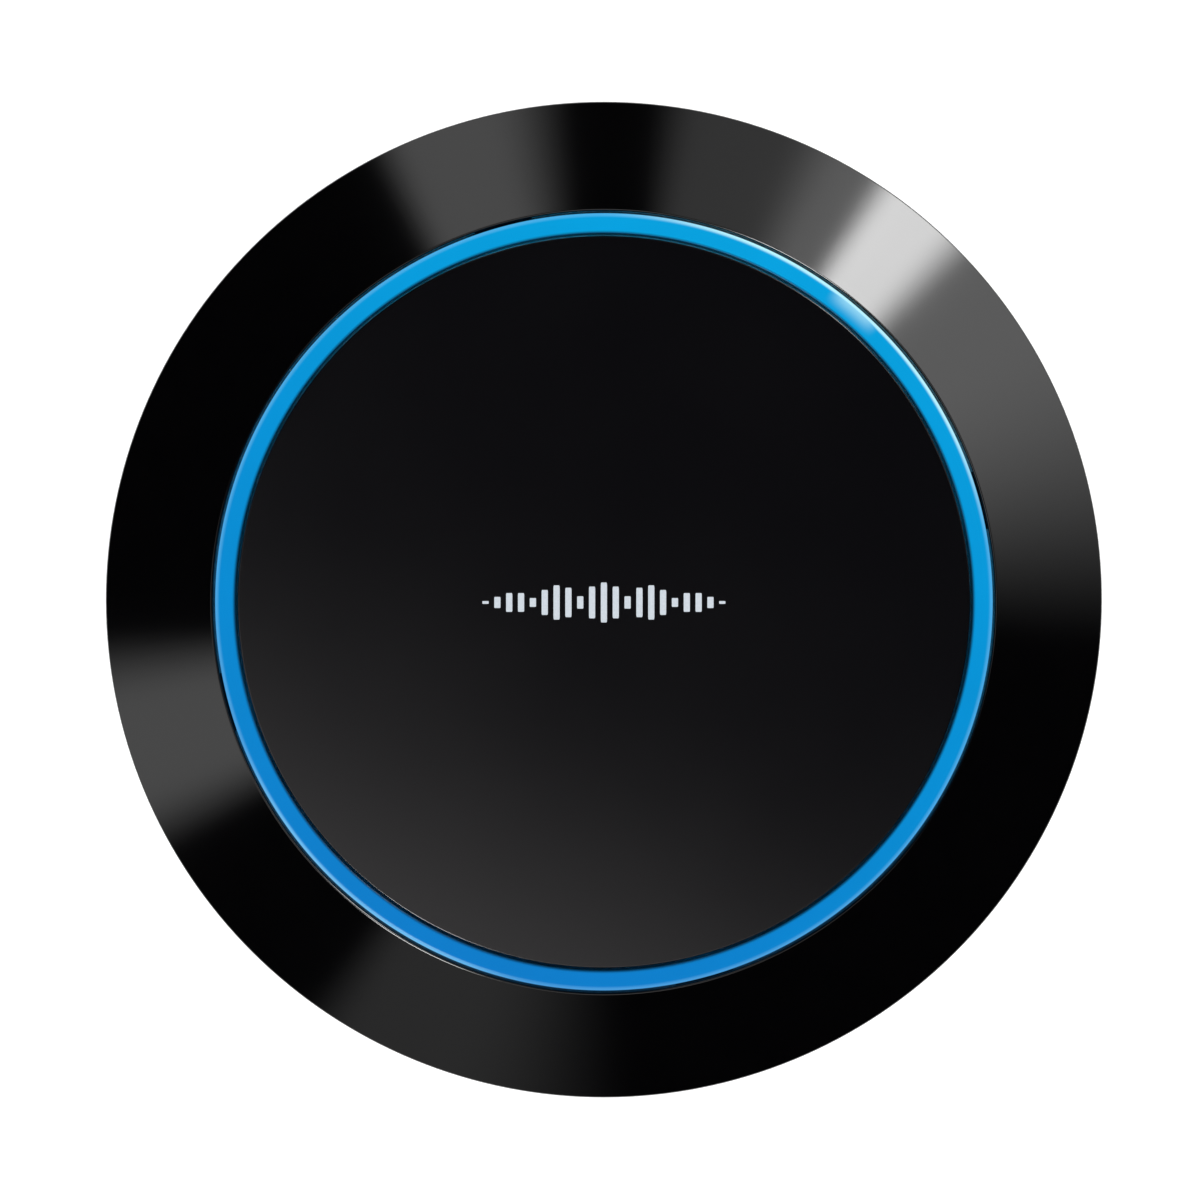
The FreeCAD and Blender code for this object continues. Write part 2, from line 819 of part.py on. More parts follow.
def flat_lead():
    """Flat flexible lead: soldered under the light board, down through the frame's slot, and bent
    into its connector on the main board."""
    drop_y = "0 - ring_middle_r"
    near, far = f"({drop_y} + flex_thick/2)", f"({drop_y} - flex_thick/2)"
    under, over = "(flex_level - flex_thick/2)", "(flex_level + flex_thick/2)"
    corners = [
        (far, "tray_top"),
        (far, under),
        ("flex_end_y", under),
        ("flex_end_y", over),
        (near, over),
        (near, "tray_top"),
    ]
    lead = padded_outline("flat_lead", "YZ_Plane", corners, "0", "flex_width")
    bends = [(far, under, "flex_bend + flex_thick/2"), (near, over, "flex_bend - flex_thick/2")]
    last = lead.Tip
    for n, (y, z, radius) in enumerate(bends):
        bend = lead.newObject("PartDesign::Fillet", f"lead_bend_{n}")
        bend.Base = (last, edges_along_x(last.Shape, value(y), value(z)))
        bind(bend, Radius=radius)
        doc.recompute()
        last = bend
    keep("flat_lead", lead)
    socket = block(
        "socket_block",
        ("flex_width + flex_socket_side * 2", "flex_socket_depth", "flex_socket_height"),
        ("0", "flex_end_y - flex_entry + flex_socket_depth/2", "board_top"),
    )
    mouth = block(
        "socket_mouth",
        ("flex_width + recess_gap * 2", "flex_entry + recess_gap", "flex_thick + recess_gap * 2"),
        ("0", "flex_end_y - (flex_entry - recess_gap)/2", f"{under} - recess_gap"),
    )
    keep("flex_socket", without("flex_socket", socket, mouth))
    latch_y = "flex_end_y - flex_entry + flex_socket_depth - flex_latch_depth/2"
    latch_size = ("flex_width + flex_latch_side * 2", "flex_latch_depth", "flex_latch_height")
    latch = block("flex_latch", latch_size, ("0", latch_y, "board_top + flex_socket_height"))
    keep("flex_latch", latch)


# ---------------------------------------------------------------- the main board


def main_board():
    """Round board, cut flat behind the port bay."""
    disc = rod("board_disc", "board_r", "board_thick", ("0", "0", "board_bottom"))
    trim = block(
        "board_trim",
        ("board_r * 2", "board_r", f"board_thick + {MARGIN * 2}"),
        ("0", "board_flat + board_r / 2", f"board_bottom - {MARGIN}"),
    )
    holes = [
        rod(
            f"board_hole_{a}",
            "case_screw_dia/2 + board_hole_gap",
            "board_thick",
            at_angle("screw_r", a, "board_bottom"),
        )
        for a in SCREW_ANGLES
    ]
    keep("main_board", without("main_board", disc, trim, *holes))


def on_board(x, y, right=0, back=0):
    """A place on the board: (x, y) in board radii, then moved right and back by millimetres."""
    return f"({x} * board_r + {right})", f"({y} * board_r + {back})"


def chip(name, size, place, up="board_top"):
    """A block-shaped component."""
    return block(name, tuple(str(n) for n in size), (*place, up))


def packaged(name, place, up="board_top"):
    """A component in a node of its own, in its package's size."""
    keep(name, chip(name, PACKAGES[name], place, up))


def legged_chip(name, x, y, legs, pitch):
    """A small-outline chip: the moulded body in one node and its legs in another."""
    packaged(name, on_board(x, y), f"board_top + {CHIP_STAND}")
    _, width, height = PACKAGES[name]
    bent = []
    for side in (-1, 1):
        for n in range(legs):
            right = (n - (legs - 1) / 2) * pitch
            foot_at = on_board(x, y, right, side * (width + LEG_FOOT) / 2)
            rise_at = on_board(x, y, right, side * (width + LEG_THICK) / 2)
            foot = chip(f"{name}_foot_{side}_{n}", (LEG_WIDTH, LEG_FOOT, LEG_THICK), foot_at)
            rise = chip(f"{name}_rise_{side}_{n}", (LEG_WIDTH, LEG_THICK, height / 2), rise_at)
            bent.append(fused(f"{name}_leg_{side}_{n}", foot, rise))
    keep(f"{name}_legs", set_of(f"{name}_legs", bent))


def can_capacitor(name, x, y):
    """Surface-mount electrolytic: a square plastic base and a round can with a crimp."""
    base = chip(f"{name}_base", (CAN_BASE_SIDE, CAN_BASE_SIDE, CAN_BASE_HEIGHT), on_board(x, y))
    at = (*on_board(x, y), f"board_top + {CAN_BASE_HEIGHT}")
    can = rod(f"{name}_can", CAN_DIA / 2, CAN_HEIGHT - CAN_BASE_HEIGHT, at)
    crimp = doc.addObject("Part::Torus", f"{name}_crimp")
    bind(crimp, Radius1=CAN_DIA / 2 + CRIMP_OUT, Radius2=CRIMP_ROUND)
    bind(crimp, Placement__Base__x=at[0], Placement__Base__y=at[1])
    bind(crimp, Placement__Base__z=f"board_top + {CRIMP_UP}")
    return base, without(f"{name}_body", can, crimp)


def radio_module():
    """Radio board with its chip under a shield can, and its antenna at the far end."""
    across, along = -0.47, -0.13
    shield_back, chip_back, antenna_back = 2.0, 1.8, -5.2
    packaged("radio_board", on_board(across, along))
    on_radio = f"board_top + {PACKAGES['radio_board'][2]}"
    length, width, height = PACKAGES["shield"]
    room = (length - 2 * SHIELD_SHEET, width - 2 * SHIELD_SHEET, height - SHIELD_SHEET)
    shield_at = on_board(across, along, 0, shield_back)
    outside = chip("shield_outside", PACKAGES["shield"], shield_at, on_radio)
    inside = chip("shield_inside", room, shield_at, on_radio)
    keep("radio_shield", without("radio_shield", outside, inside))
    packaged("radio_chip", on_board(across, along, 0, chip_back), on_radio)
    packaged("chip_antenna", on_board(across, along, 0, antenna_back), on_radio)


def board_parts():
    """Audio chips, supply and the small parts round them, placed in board radii."""
    radio_module()
    packaged("crystal", on_board(-0.08, -0.25))
    packaged("audio_converter", on_board(0.2, -0.05))
    legged_chip("line_driver", 0.55, -0.05, legs=4, pitch=1.27)
    legged_chip("memory_chip", -0.05, 0.24, legs=4, pitch=1.27)
    legged_chip("regulator", -0.3, 0.6, legs=3, pitch=0.95)
    packaged("power_coil", on_board(-0.42, 0.36))
    places = {"out_left": (0.45, 0.28), "out_right": (0.68, 0.28), "supply": (-0.7, 0.32)}
    bases, cans = zip(*[can_capacitor(f"{name}_cap", *place) for name, place in places.items()])
    keep("capacitor_cans", set_of("capacitor_cans", cans))
    keep("capacitor_bases", set_of("capacitor_bases", bases))
    by_converter = [(0.1, -0.25), (0.16, -0.25), (0.22, -0.25)]
    by_supply = [(-0.15, 0.55), (-0.15, 0.62), (0.0, -0.42), (0.06, -0.42), (0.12, -0.42)]
    by_driver = [(0.78, -0.05), (0.78, 0.03), (-0.75, -0.1), (-0.75, -0.02)]
    small_parts("ceramic_capacitors", by_converter + by_supply + by_driver)
    by_lights = [(x, y) for y in (-0.35, -0.43) for x in (0.35, 0.41, 0.47)]
    by_lead = [(-0.12, -0.52), (-0.06, -0.52), (0.06, -0.52), (0.12, -0.52)]
    by_switch = [(-0.05, 0.6), (0.05, 0.6)]
    small_parts("resistors", by_lights + by_lead + by_switch)


def small_parts(name, places):
    """A node of two-ended chips of one size, at places given in board radii."""
    chips = [chip(f"{name}_{n}", PACKAGES[name], on_board(*at)) for n, at in enumerate(places)]
    keep(name, set_of(name, chips))


# ---------------------------------------------------------------- sockets, button and screws


def audio_jack():
    """3.5 mm socket: moulded body with a round nose, its metal bush and three contact springs."""
    axis = ("jack_across", "jack_axis")

    def along_bore(name, radius, start, length):
        return rod(name, radius, length, (axis[0], start, axis[1]), "y")

    box = block(
        "jack_box",
        ("jack_width", "jack_length", "jack_height"),
        ("jack_across", "jack_back + jack_length/2", "board_top"),
    )
    reach = f"jack_face - jack_front + {BITE}"
    nose = along_bore("jack_nose", "jack_nose_dia/2", f"jack_front - {BITE}", reach)
    bore = along_bore("jack_bore", "jack_bore_r", "jack_face - jack_bore_depth", "jack_bore_depth")
    seat = along_bore("bush_seat", "jack_bore_r + bush_wall", "jack_face - bush_length", "bush_length")
    cuts, springs = [bore, seat], []
    for n in range(3):
        side = -1 if n == 1 else 1
        y = f"(jack_face - bush_length - spring_start - spring_pitch * {n})"
        blade_in = "(jack_bore_r + spring_air)"
        tail = "(jack_width/2 + spring_tail)"
        window_in = "(jack_bore_r - spring_break)"

        def aside(near, far):
            """The place across and the width of what runs from near to far of the bore's axis."""
            return f"(jack_across + {side} * ({near} + {far}) / 2)", f"({far} - {near})"

        x, width = aside(window_in, f"(jack_width/2 + {MARGIN})")
        window = (width, "spring_width + recess_gap * 2", "jack_axis_up * 2 - jack_roof")
        cuts.append(block(f"spring_window_{n}", window, (x, y, "board_top")))
        x, width = aside(blade_in, f"({blade_in} + spring_thick)")
        size = (width, "spring_width", "jack_axis_up + jack_bore_r / 2")
        blade = block(f"spring_blade_{n}", size, (x, y, "board_top"))
        x, width = aside(blade_in, tail)
        foot = block(f"spring_foot_{n}", (width, "spring_width", "spring_thick"), (x, y, "board_top"))
        springs.append(fused(f"spring_{n}", blade, foot))
    keep("jack_body", without("jack_body", fused("jack_solid", box, nose), *cuts))
    keep("jack_springs", set_of("jack_springs", springs))
    tube = along_bore("bush_tube", "jack_bore_r + bush_wall", "jack_face - bush_length", "bush_length")
    hole = along_bore("bush_hole", "jack_bore_r", "jack_face - bush_length", "bush_length")
    keep("jack_bush", without("jack_bush", tube, hole))


def power_socket():
    """Micro-B receptacle: folded steel shell, moulded tongue and its contacts."""

    def shell_outline(inset):
        half = f"(power_width/2 - {inset})"
        middle = "(0 - power_across)"
        low, high = f"(board_top + {inset})", f"(board_top + power_height - {inset})"
        bevel = "power_bevel"
        return [
            (f"{middle} - {half} + {bevel}", low),
            (f"{middle} + {half} - {bevel}", low),
            (f"{middle} + {half}", f"{low} + {bevel}"),
            (f"{middle} + {half}", high),
            (f"{middle} - {half}", high),
            (f"{middle} - {half}", f"{low} + {bevel}"),
        ]

    middle_y = "0 - (power_face + power_back) / 2"
    outer = padded_outline("power_outer", "XZ_Plane", shell_outline("0"), middle_y, "power_depth")
    inner = padded_outline(
        "power_inner",
        "XZ_Plane",
        shell_outline("power_sheet"),
        f"{middle_y} - power_sheet",
        "power_depth",
    )
    keep("power_shell", without("power_shell", outer, inner))
    back = "power_back + power_sheet"
    tongue_z = "power_middle + power_height/2 - power_sheet - tongue_drop - tongue_thick"
    tongue = block(
        "power_tongue",
        ("tongue_across", "tongue_depth", "tongue_thick"),
        ("0 - power_across", f"{back} + tongue_depth/2", tongue_z),
    )
    root = block(
        "power_root",
        (
            "power_width - power_sheet * 2 - power_bevel * 2",
            "power_root_depth",
            "power_height - power_sheet * 2",
        ),
        ("0 - power_across", f"{back} + power_root_depth/2", "board_top + power_sheet"),
    )
    keep("power_tongue", fused("power_insulator", tongue, root))
    contacts = [
        block(
            f"power_contact_{n}",
            ("contact_width", "contact_length", "contact_thick"),
            (
                f"0 - power_across + {n} * contact_pitch",
                f"{back} + power_root_depth + contact_length/2",
                f"{tongue_z} - contact_thick",
            ),
        )
        for n in range(-2, 3)
    ]
    keep("power_contacts", set_of("power_contacts", contacts))


def pairing_button():
    """Button cap in the bay's wall and the side-pushed switch behind it."""

    def on_axis(name, radius, start, length):
        return rod(name, radius, length, ("0", start, "button_axis"), "y")

    stem = on_axis("cap_stem", "button_dia/2", "flange_back", "button_face - flange_back")
    at_face = is_circle_at("y", value("button_face"))
    cap = rounded("cap_rounded", stem, at_face, "button_round")
    flange = on_axis("cap_flange", "button_flange_dia/2", "flange_back", "button_flange")
    keep("button_cap", fused("button_cap", cap, flange))
    reach = "flange_back - plunger_back"
    keep("switch_plunger", on_axis("switch_plunger", "plunger_dia/2", "plunger_back", reach))
    housing = block(
        "switch_housing",
        ("switch_width", "switch_depth", "switch_height"),
        ("0", "switch_front - switch_depth/2", "board_top"),
    )
    room_r = "plunger_dia/2 + plunger_gap"
    well = on_axis("switch_well", room_r, "dome_seat", "switch_depth")
    keep("switch_body", without("switch_body", housing, well))
    edge_r = f"({room_r} - dome_edge_gap)"
    ball_r = f"({edge_r} * {edge_r} + dome_height * dome_height) / (2 * dome_height)"
    balls = []
    for name, radius in (("dome_outside", ball_r), ("dome_inside", f"{ball_r} - dome_thick")):
        ball = doc.addObject("Part::Sphere", name)
        bind(ball, Radius=radius, Placement__Base__z="button_axis")
        bind(ball, Placement__Base__y=f"dome_seat + dome_height - {ball_r}")
        balls.append(ball)
    cap_room = on_axis("dome_room", edge_r, "dome_seat", "switch_depth")
    cup = doc.addObject("Part::Common", "dome_cup")
    cup.Base = without("dome_skin", *balls)
    cup.Tool = cap_room
    keep("switch_dome", cup)


def screws():
    """Case screws from below, under the feet, and the short screws that hold frame and bezel."""
    long_ones, short_ones = [], []
    for a in SCREW_ANGLES:
        x, y, _ = at_angle("screw_r", a, "0")
        shape = ("case_screw_dia", "case_screw_length", "case_head_dia", "case_head_height")
        long_ones.append(screw(f"case_screw_{a}", (x, y), "screw_seat", a, *shape))
    for a in EAR_ANGLES:
        x, y, _ = at_angle("ear_r", a, "0")
        shape = ("ear_screw_dia", "ear_screw_length", "ear_head_dia", "ear_head_height")
        short_ones.append(screw(f"ear_screw_{a}", (x, y), "tray_bottom", a, *shape))
    keep("case_screws", set_of("case_screws", long_ones))
    keep("frame_screws", set_of("frame_screws", short_ones))


# ---------------------------------------------------------------- checks and export


def check_and_export():
    doc.recompute()
    for thing in doc.Objects:
        if {"Invalid", "Error"} & set(thing.State):
            raise RuntimeError(f"{thing.Name} failed: {thing.State}")
    os.makedirs("parts", exist_ok=True)
    for name, thing in nodes.items():
        shape = thing.Shape
        if shape.isNull() or not shape.isValid() or not shape.Solids:
            raise RuntimeError(f"{name} has no valid solid")
        print(f"{name}: {len(shape.Solids)} solid(s), {shape.Volume:.2f} mm3")
    for name, thing in nodes.items():
        thing.Shape.exportStep(f"parts/{name}.step")
    print(len(nodes), "nodes written")


sheet = make_sheet()
top_bezel()
light_ring()
top_plate()
bottom_shell()
feet_and_label()
inner_frame()
light_board()
main_board()
board_parts()
audio_jack()
power_socket()
pairing_button()
screws()
check_and_export()
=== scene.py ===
"""Looks of a round Bluetooth audio receiver: gloss rim, blue light ring, flat plate, matt case.

Metres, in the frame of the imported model: +Z up, the sockets and the pairing button face +Y.
"""

import json
import math

import bmesh
import bpy
from mathutils import Matrix, Vector


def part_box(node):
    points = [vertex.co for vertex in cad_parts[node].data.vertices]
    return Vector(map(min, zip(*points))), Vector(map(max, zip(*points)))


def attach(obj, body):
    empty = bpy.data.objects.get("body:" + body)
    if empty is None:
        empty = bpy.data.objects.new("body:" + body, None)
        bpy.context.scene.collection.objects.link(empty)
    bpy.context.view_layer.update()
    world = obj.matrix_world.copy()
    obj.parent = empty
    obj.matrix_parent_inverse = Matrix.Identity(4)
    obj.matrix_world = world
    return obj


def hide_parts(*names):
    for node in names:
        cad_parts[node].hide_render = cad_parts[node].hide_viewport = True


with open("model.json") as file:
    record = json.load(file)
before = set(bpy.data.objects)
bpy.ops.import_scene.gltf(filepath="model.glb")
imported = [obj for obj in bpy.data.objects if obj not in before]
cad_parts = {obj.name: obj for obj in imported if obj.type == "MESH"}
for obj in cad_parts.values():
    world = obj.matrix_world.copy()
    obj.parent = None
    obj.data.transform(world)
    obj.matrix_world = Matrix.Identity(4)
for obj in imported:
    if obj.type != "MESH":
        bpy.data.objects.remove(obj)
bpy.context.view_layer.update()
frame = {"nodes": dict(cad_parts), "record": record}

# ---------------------------------------------------------------- sizes

MM = 0.001
TURN_STEPS = 256  # facets round a turned piece
ARC_STEPS = 7  # facets in a quarter turn of a rounded edge
HOLD = 0.02 * MM  # a facet this wide keeps the flat beside a rounded edge flat
SAME_POINT = 0.001 * MM  # points nearer than this are merged
CREASE = math.radians(35)
CRISP = 0.05 * MM  # round of an edge that looks sharp

RING_GAP = 0.15 * MM
RING_BAND = 1.4 * MM
RING_PROUD = 0.2 * MM
RING_RISE = 0.9 * MM  # from the light board's face to the ring's underside
RING_OUTER_ROUND = 0.3 * MM
RING_INNER_ROUND = 0.12 * MM
# painted shade: width over which the ring's glow darkens along its inner edge, beside the plate
RING_INNER_SHADE_WIDTH = 0.25 * MM
# painted highlight: the ring's glow turns pale along its outer edge
RING_PAINTED_HIGHLIGHT_EDGE = (0.34 * MM, 0.12 * MM)  # where its pale edge starts and is full, from the outer wall
# painted light: the ring's glow is brighter towards this side, as if lit from there
RING_PAINTED_LIT_SIDE = (0.35, 0.94, 0)  # direction of the ring's brightest blue
KEY_SIDE = (0.65, 0.76, 0)  # direction of the key light
DIODES = 12
RING_TAB = Vector((1.6, 4.0, 1.0)) * MM
TAB_REACH = 0.2 * MM  # from the ring's outer wall to the middle of a tab
RING_LEG = Vector((0.9, 2.0, 1.1)) * MM
TABS_START = 15  # degrees from +X to the first tab
RIM_WALL = 1.6 * MM
RIM_FLANGE = 1.1 * MM
FLANGE_RISE = 0.4 * MM  # from the light board's underside to the rim's flange
PAD_RADIUS = 2.0 * MM
EAR_SCREW = 1.6 * MM
EAR_HEAD = 2.8 * MM
PILOT_TOP = 2.1 * MM
NOTCH_GAP = 0.15 * MM
SKIRT_HEIGHT = 1.2 * MM
SKIRT_WALL = 1.4 * MM
EDGE_ROUND = 0.2 * MM
BORE_ROUND = 0.12 * MM
PLATE_ROUND = 0.07 * MM
INK_THICK = 0.02 * MM
MARK = {"Count": 21, "Pitch": 0.8 * MM, "Bar_width": 0.42 * MM, "Tallest": 2.7 * MM}
SHELL_WALL = 1.6 * MM
SHELL_FLOOR = 1.8 * MM
SHELL_CORNER = 2.4 * MM
SHELL_TAPER = 1.6 * MM
TONGUE_WALL = 0.7 * MM
TONGUE_HEIGHT = 0.6 * MM
BAY_DEPTH = 4.4 * MM
BAY_WIDTH = 26.0 * MM
BAY_SILL = 2.6 * MM
BAY_ROOF = 1.0 * MM
TRAY_FLOOR = 1.0 * MM
ROOF_GAP = 0.15 * MM
BAY_CORNER = 1.5 * MM
BAY_LIP = 0.35 * MM
BAY_FILLET = 0.5 * MM
BAY_STEPS = 32  # parts of the bay's long sides, which follow the round wall
HOLE_LIP = 0.15 * MM
CUTTER_CLEAR = 2 * MM  # how far a cutter reaches past what it cuts
RECESS_GAP = 0.1 * MM
FOOT_DIA = 9.0 * MM
FOOT_GRIPS = 4
NOSE_DIA = 6.0 * MM
NOSE_GAP = 0.15 * MM
BUTTON_DIA = 4.0 * MM
BUTTON_GAP = 0.15 * MM
BUTTON_FLANGE = 0.7 * MM
BUTTON_DISH = 0.12 * MM
DISH_RIM = 0.6 * MM
DISH_ROUND = 0.3 * MM
DISH_HOLLOW = 0.5 * MM  # round of the bend halfway into the dish
SOCKET_SHEET = 0.3 * MM
SOCKET_BEVEL = 0.8 * MM
SOCKET_FOLD = 0.45 * MM
SOCKET_BEVEL_FOLD = 0.3 * MM
SOCKET_EDGE = 0.08 * MM
SOCKET_GAP = 0.45 * MM
SOCKET_HOLE_CORNER = 1.1 * MM
SCREW_WELL = 4.2 * MM
SCREW_SEAT = 3.0 * MM
SCREW_WAY = 2.4 * MM
BOSS_RADIUS = 3.2 * MM
FOOT_ROUND = 0.3 * MM
GRIP_DEPTH = 0.15 * MM
GRIP_SLOPE = 0.04 * MM
LABEL_CORNER = 1.2 * MM
LABEL_EDGE = 0.04 * MM
LABEL_LINE = 0.18 * MM
LABEL_LINE_INSET = 0.9 * MM
BUTTON_ROUND = 0.3 * MM
BUSH_WALL = 0.5 * MM
BUSH_LEAD_IN = 0.4 * MM
BUSH_MOUTH = 0.2 * MM  # what the lead-in leaves of the wall at the mouth

rim_low, rim_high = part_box("top_bezel")
plate_low, plate_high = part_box("top_plate")
ring_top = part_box("light_ring")[1].z
shell_low, shell_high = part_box("bottom_shell")
feet_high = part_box("rubber_feet")[1]
label_low, label_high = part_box("rating_label")
board_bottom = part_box("main_board")[0].z
lights_low, lights_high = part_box("light_board")
button_low, button_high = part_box("button_cap")
bush_low, bush_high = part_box("jack_bush")
socket_low, socket_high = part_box("power_shell")
ear_screws_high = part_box("frame_screws")[1]

outer_r = rim_high.x
plate_r = plate_high.x
ring_inner_r = plate_r + RING_GAP
ring_outer_r = ring_inner_r + RING_BAND
ring_middle_r = (ring_inner_r + ring_outer_r) / 2
bore_r = ring_outer_r + RING_GAP
flange_r = bore_r + RIM_FLANGE
rim_top = ring_top - RING_PROUD
skirt_bottom = rim_low.z
flange_bottom = lights_low.z + FLANGE_RISE
ring_bottom = lights_high.z + RING_RISE
rim_edge = skirt_bottom + SKIRT_HEIGHT
rim_slope = (rim_top - rim_edge) / (outer_r - bore_r)
shell_top = shell_high.z - TONGUE_HEIGHT
shell_top_r = shell_high.x
shell_base_r = shell_top_r - SHELL_TAPER
floor_top = shell_low.z + SHELL_FLOOR
bay_face = shell_top_r - BAY_DEPTH
bay_back = bay_face - SHELL_WALL
bay_bottom = shell_low.z + BAY_SILL
roof_top = lights_low.z - TRAY_FLOOR - ROOF_GAP
bay_top = roof_top - BAY_ROOF
foot_circle = math.sqrt(2) * (feet_high.x - FOOT_DIA / 2)
ear_circle = math.sqrt(2) * (ear_screws_high.x - EAR_HEAD / 2)


def wall_radius(height):
    """Radius of the case's tapered wall at a height."""
    return shell_base_r + (height - shell_low.z) * SHELL_TAPER / (shell_top - shell_low.z)


def rim_height(radius):
    """Height of the rim's sloped face at a radius."""
    return rim_top - (radius - bore_r) * rim_slope


# ---------------------------------------------------------------- shader nodes


class Shader:
    """A material's node tree, with short ways to add nodes and join them."""

    def __init__(self, name):
        self.material = bpy.data.materials.new(name)
        self.material.use_nodes = True
        self.tree = self.material.node_tree
        self.tree.nodes.clear()
        self.surface = self.add("ShaderNodeBsdfPrincipled", {})
        self.end = self.add("ShaderNodeOutputMaterial", {"Surface": self.surface.outputs["BSDF"]})
        self.place = self.add("ShaderNodeTexCoord", {}).outputs["Object"]

    def add(self, kind, inputs, **settings):
        """A new node. inputs gives each socket a value, or another node's output."""
        new = self.tree.nodes.new(kind)
        for name, setting in settings.items():
            setattr(new, name, setting)
        for name, value in inputs.items():
            self.join(new.inputs[name], value)
        return new

    def join(self, socket, value):
        """Gives a socket a value, or another node's output."""
        if isinstance(value, bpy.types.NodeSocket):
            self.tree.links.new(value, socket)
        else:
            socket.default_value = value

    def set(self, **inputs):
        """Values or outputs for the surface's own sockets: Base_Color is Base Color."""
        for name, value in inputs.items():
            self.join(self.surface.inputs[name.replace("_", " ")], value)

    def maths(self, operation, *values):
        return self.add("ShaderNodeMath", dict(enumerate(values)), operation=operation).outputs[0]

    def stretched(self, scale):
        """The object's coordinates, scaled along each axis."""
        mapping = self.add("ShaderNodeMapping", {"Vector": self.place, "Scale": scale})
        return mapping.outputs["Vector"]

    def noise(self, size, detail=3.0, at=None):
        """Soft noise with patches about this many metres across, from 0 to 1."""
        inputs = {"Vector": at or self.place, "Scale": 1 / size, "Detail": detail}
        return self.add("ShaderNodeTexNoise", inputs).outputs["Fac"]

    def cells(self, size):
        """Distance to the nearest of many scattered points about this many metres apart."""
        inputs = {"Vector": self.place, "Scale": 1 / size}
        return self.add("ShaderNodeTexVoronoi", inputs).outputs["Distance"]

    def spread(self, value, low, high, start=0.0, stop=1.0):
        """value from start..stop, spread over low..high."""
        inputs = {"Value": value, "From Min": start, "From Max": stop, "To Min": low, "To Max": high}
        return self.add("ShaderNodeMapRange", inputs).outputs["Result"]

    def blend(self, amount, first, second):
        """A colour between first and second."""
        node = self.add("ShaderNodeMix", {}, data_type="RGBA")
        sockets = {socket.identifier: socket for socket in node.inputs}
        self.join(sockets["Factor_Float"], amount)
        for name, colour in (("A_Color", first), ("B_Color", second)):
            colour = colour if isinstance(colour, bpy.types.NodeSocket) else (*colour[:3], 1)
            self.join(sockets[name], colour)
        return node.outputs[2]

    def bump(self, height, depth, under=None):
        """A normal from a height of 0 to 1 that stands for this many metres."""
        inputs = {"Height": height, "Distance": depth, "Strength": 1.0}
        if under:
            inputs["Normal"] = under
        return self.add("ShaderNodeBump", inputs).outputs["Normal"]

    def from_axis(self):
        """Distance from the Z axis."""
        flat = self.stretched((1, 1, 0))
        return self.add("ShaderNodeVectorMath", {0: flat}, operation="LENGTH").outputs["Value"]

    def axes(self):
        """The object's coordinates one by one, as outputs named X, Y and Z."""
        return self.add("ShaderNodeSeparateXYZ", {"Vector": self.place}).outputs

    def along(self, direction):
        """How far a point lies along a direction from the origin."""
        inputs = {0: self.place, 1: tuple(direction)}
        return self.add("ShaderNodeVectorMath", inputs, operation="DOT_PRODUCT").outputs["Value"]

    def fade(self, value, start, stop):
        """0 at start, 1 at stop and beyond, with a soft start and end."""
        inputs = {"Value": value, "From Min": start, "From Max": stop}
        return self.add("ShaderNodeMapRange", inputs, interpolation_type="SMOOTHSTEP").outputs["Result"]

    def emit(self, colour, strength):
        """Turns the material into a clear light of this colour and strength."""
        light = self.add("ShaderNodeEmission", {"Color": (*colour, 1), "Strength": strength})
        clear = self.add("ShaderNodeBsdfTransparent", {})
        both = self.add("ShaderNodeAddShader", {0: light.outputs[0], 1: clear.outputs[0]})
        self.join(self.end.inputs["Surface"], both.outputs[0])


# ---------------------------------------------------------------- finishes


def gloss_rim():
    """Black piano gloss: deep, with a trace of orange peel, fine polishing marks and dust."""
    m = Shader("rim_gloss")
    polish = m.noise(9 * MM, detail=5)
    m.set(Base_Color=m.blend(m.noise(3 * MM), (0.0005, 0.0005, 0.0007), (0.0009, 0.0008, 0.001)))
    m.set(Roughness=m.spread(polish, 0.085, 0.12), IOR=1.52)
    peel = m.bump(m.noise(1.6 * MM, detail=1), 0.0006 * MM)
    marks = m.noise(0.35 * MM, detail=2, at=m.stretched((1, 14, 1)))
    m.set(Normal=m.bump(marks, 0.00012 * MM, under=peel))
    return m.material


def satin_plate():
    """The top plate: black, a little softer than the rim, with a very fine grain."""
    m = Shader("plate_satin")
    grain = m.noise(0.12 * MM, detail=2)
    m.set(Base_Color=m.blend(grain, (0.0011, 0.001, 0.0018), (0.0019, 0.0017, 0.0028)))
    m.set(Roughness=m.spread(m.noise(14 * MM, detail=4), 0.13, 0.17), IOR=1.5)
    m.set(Normal=m.bump(grain, 0.0001 * MM))
    return m.material


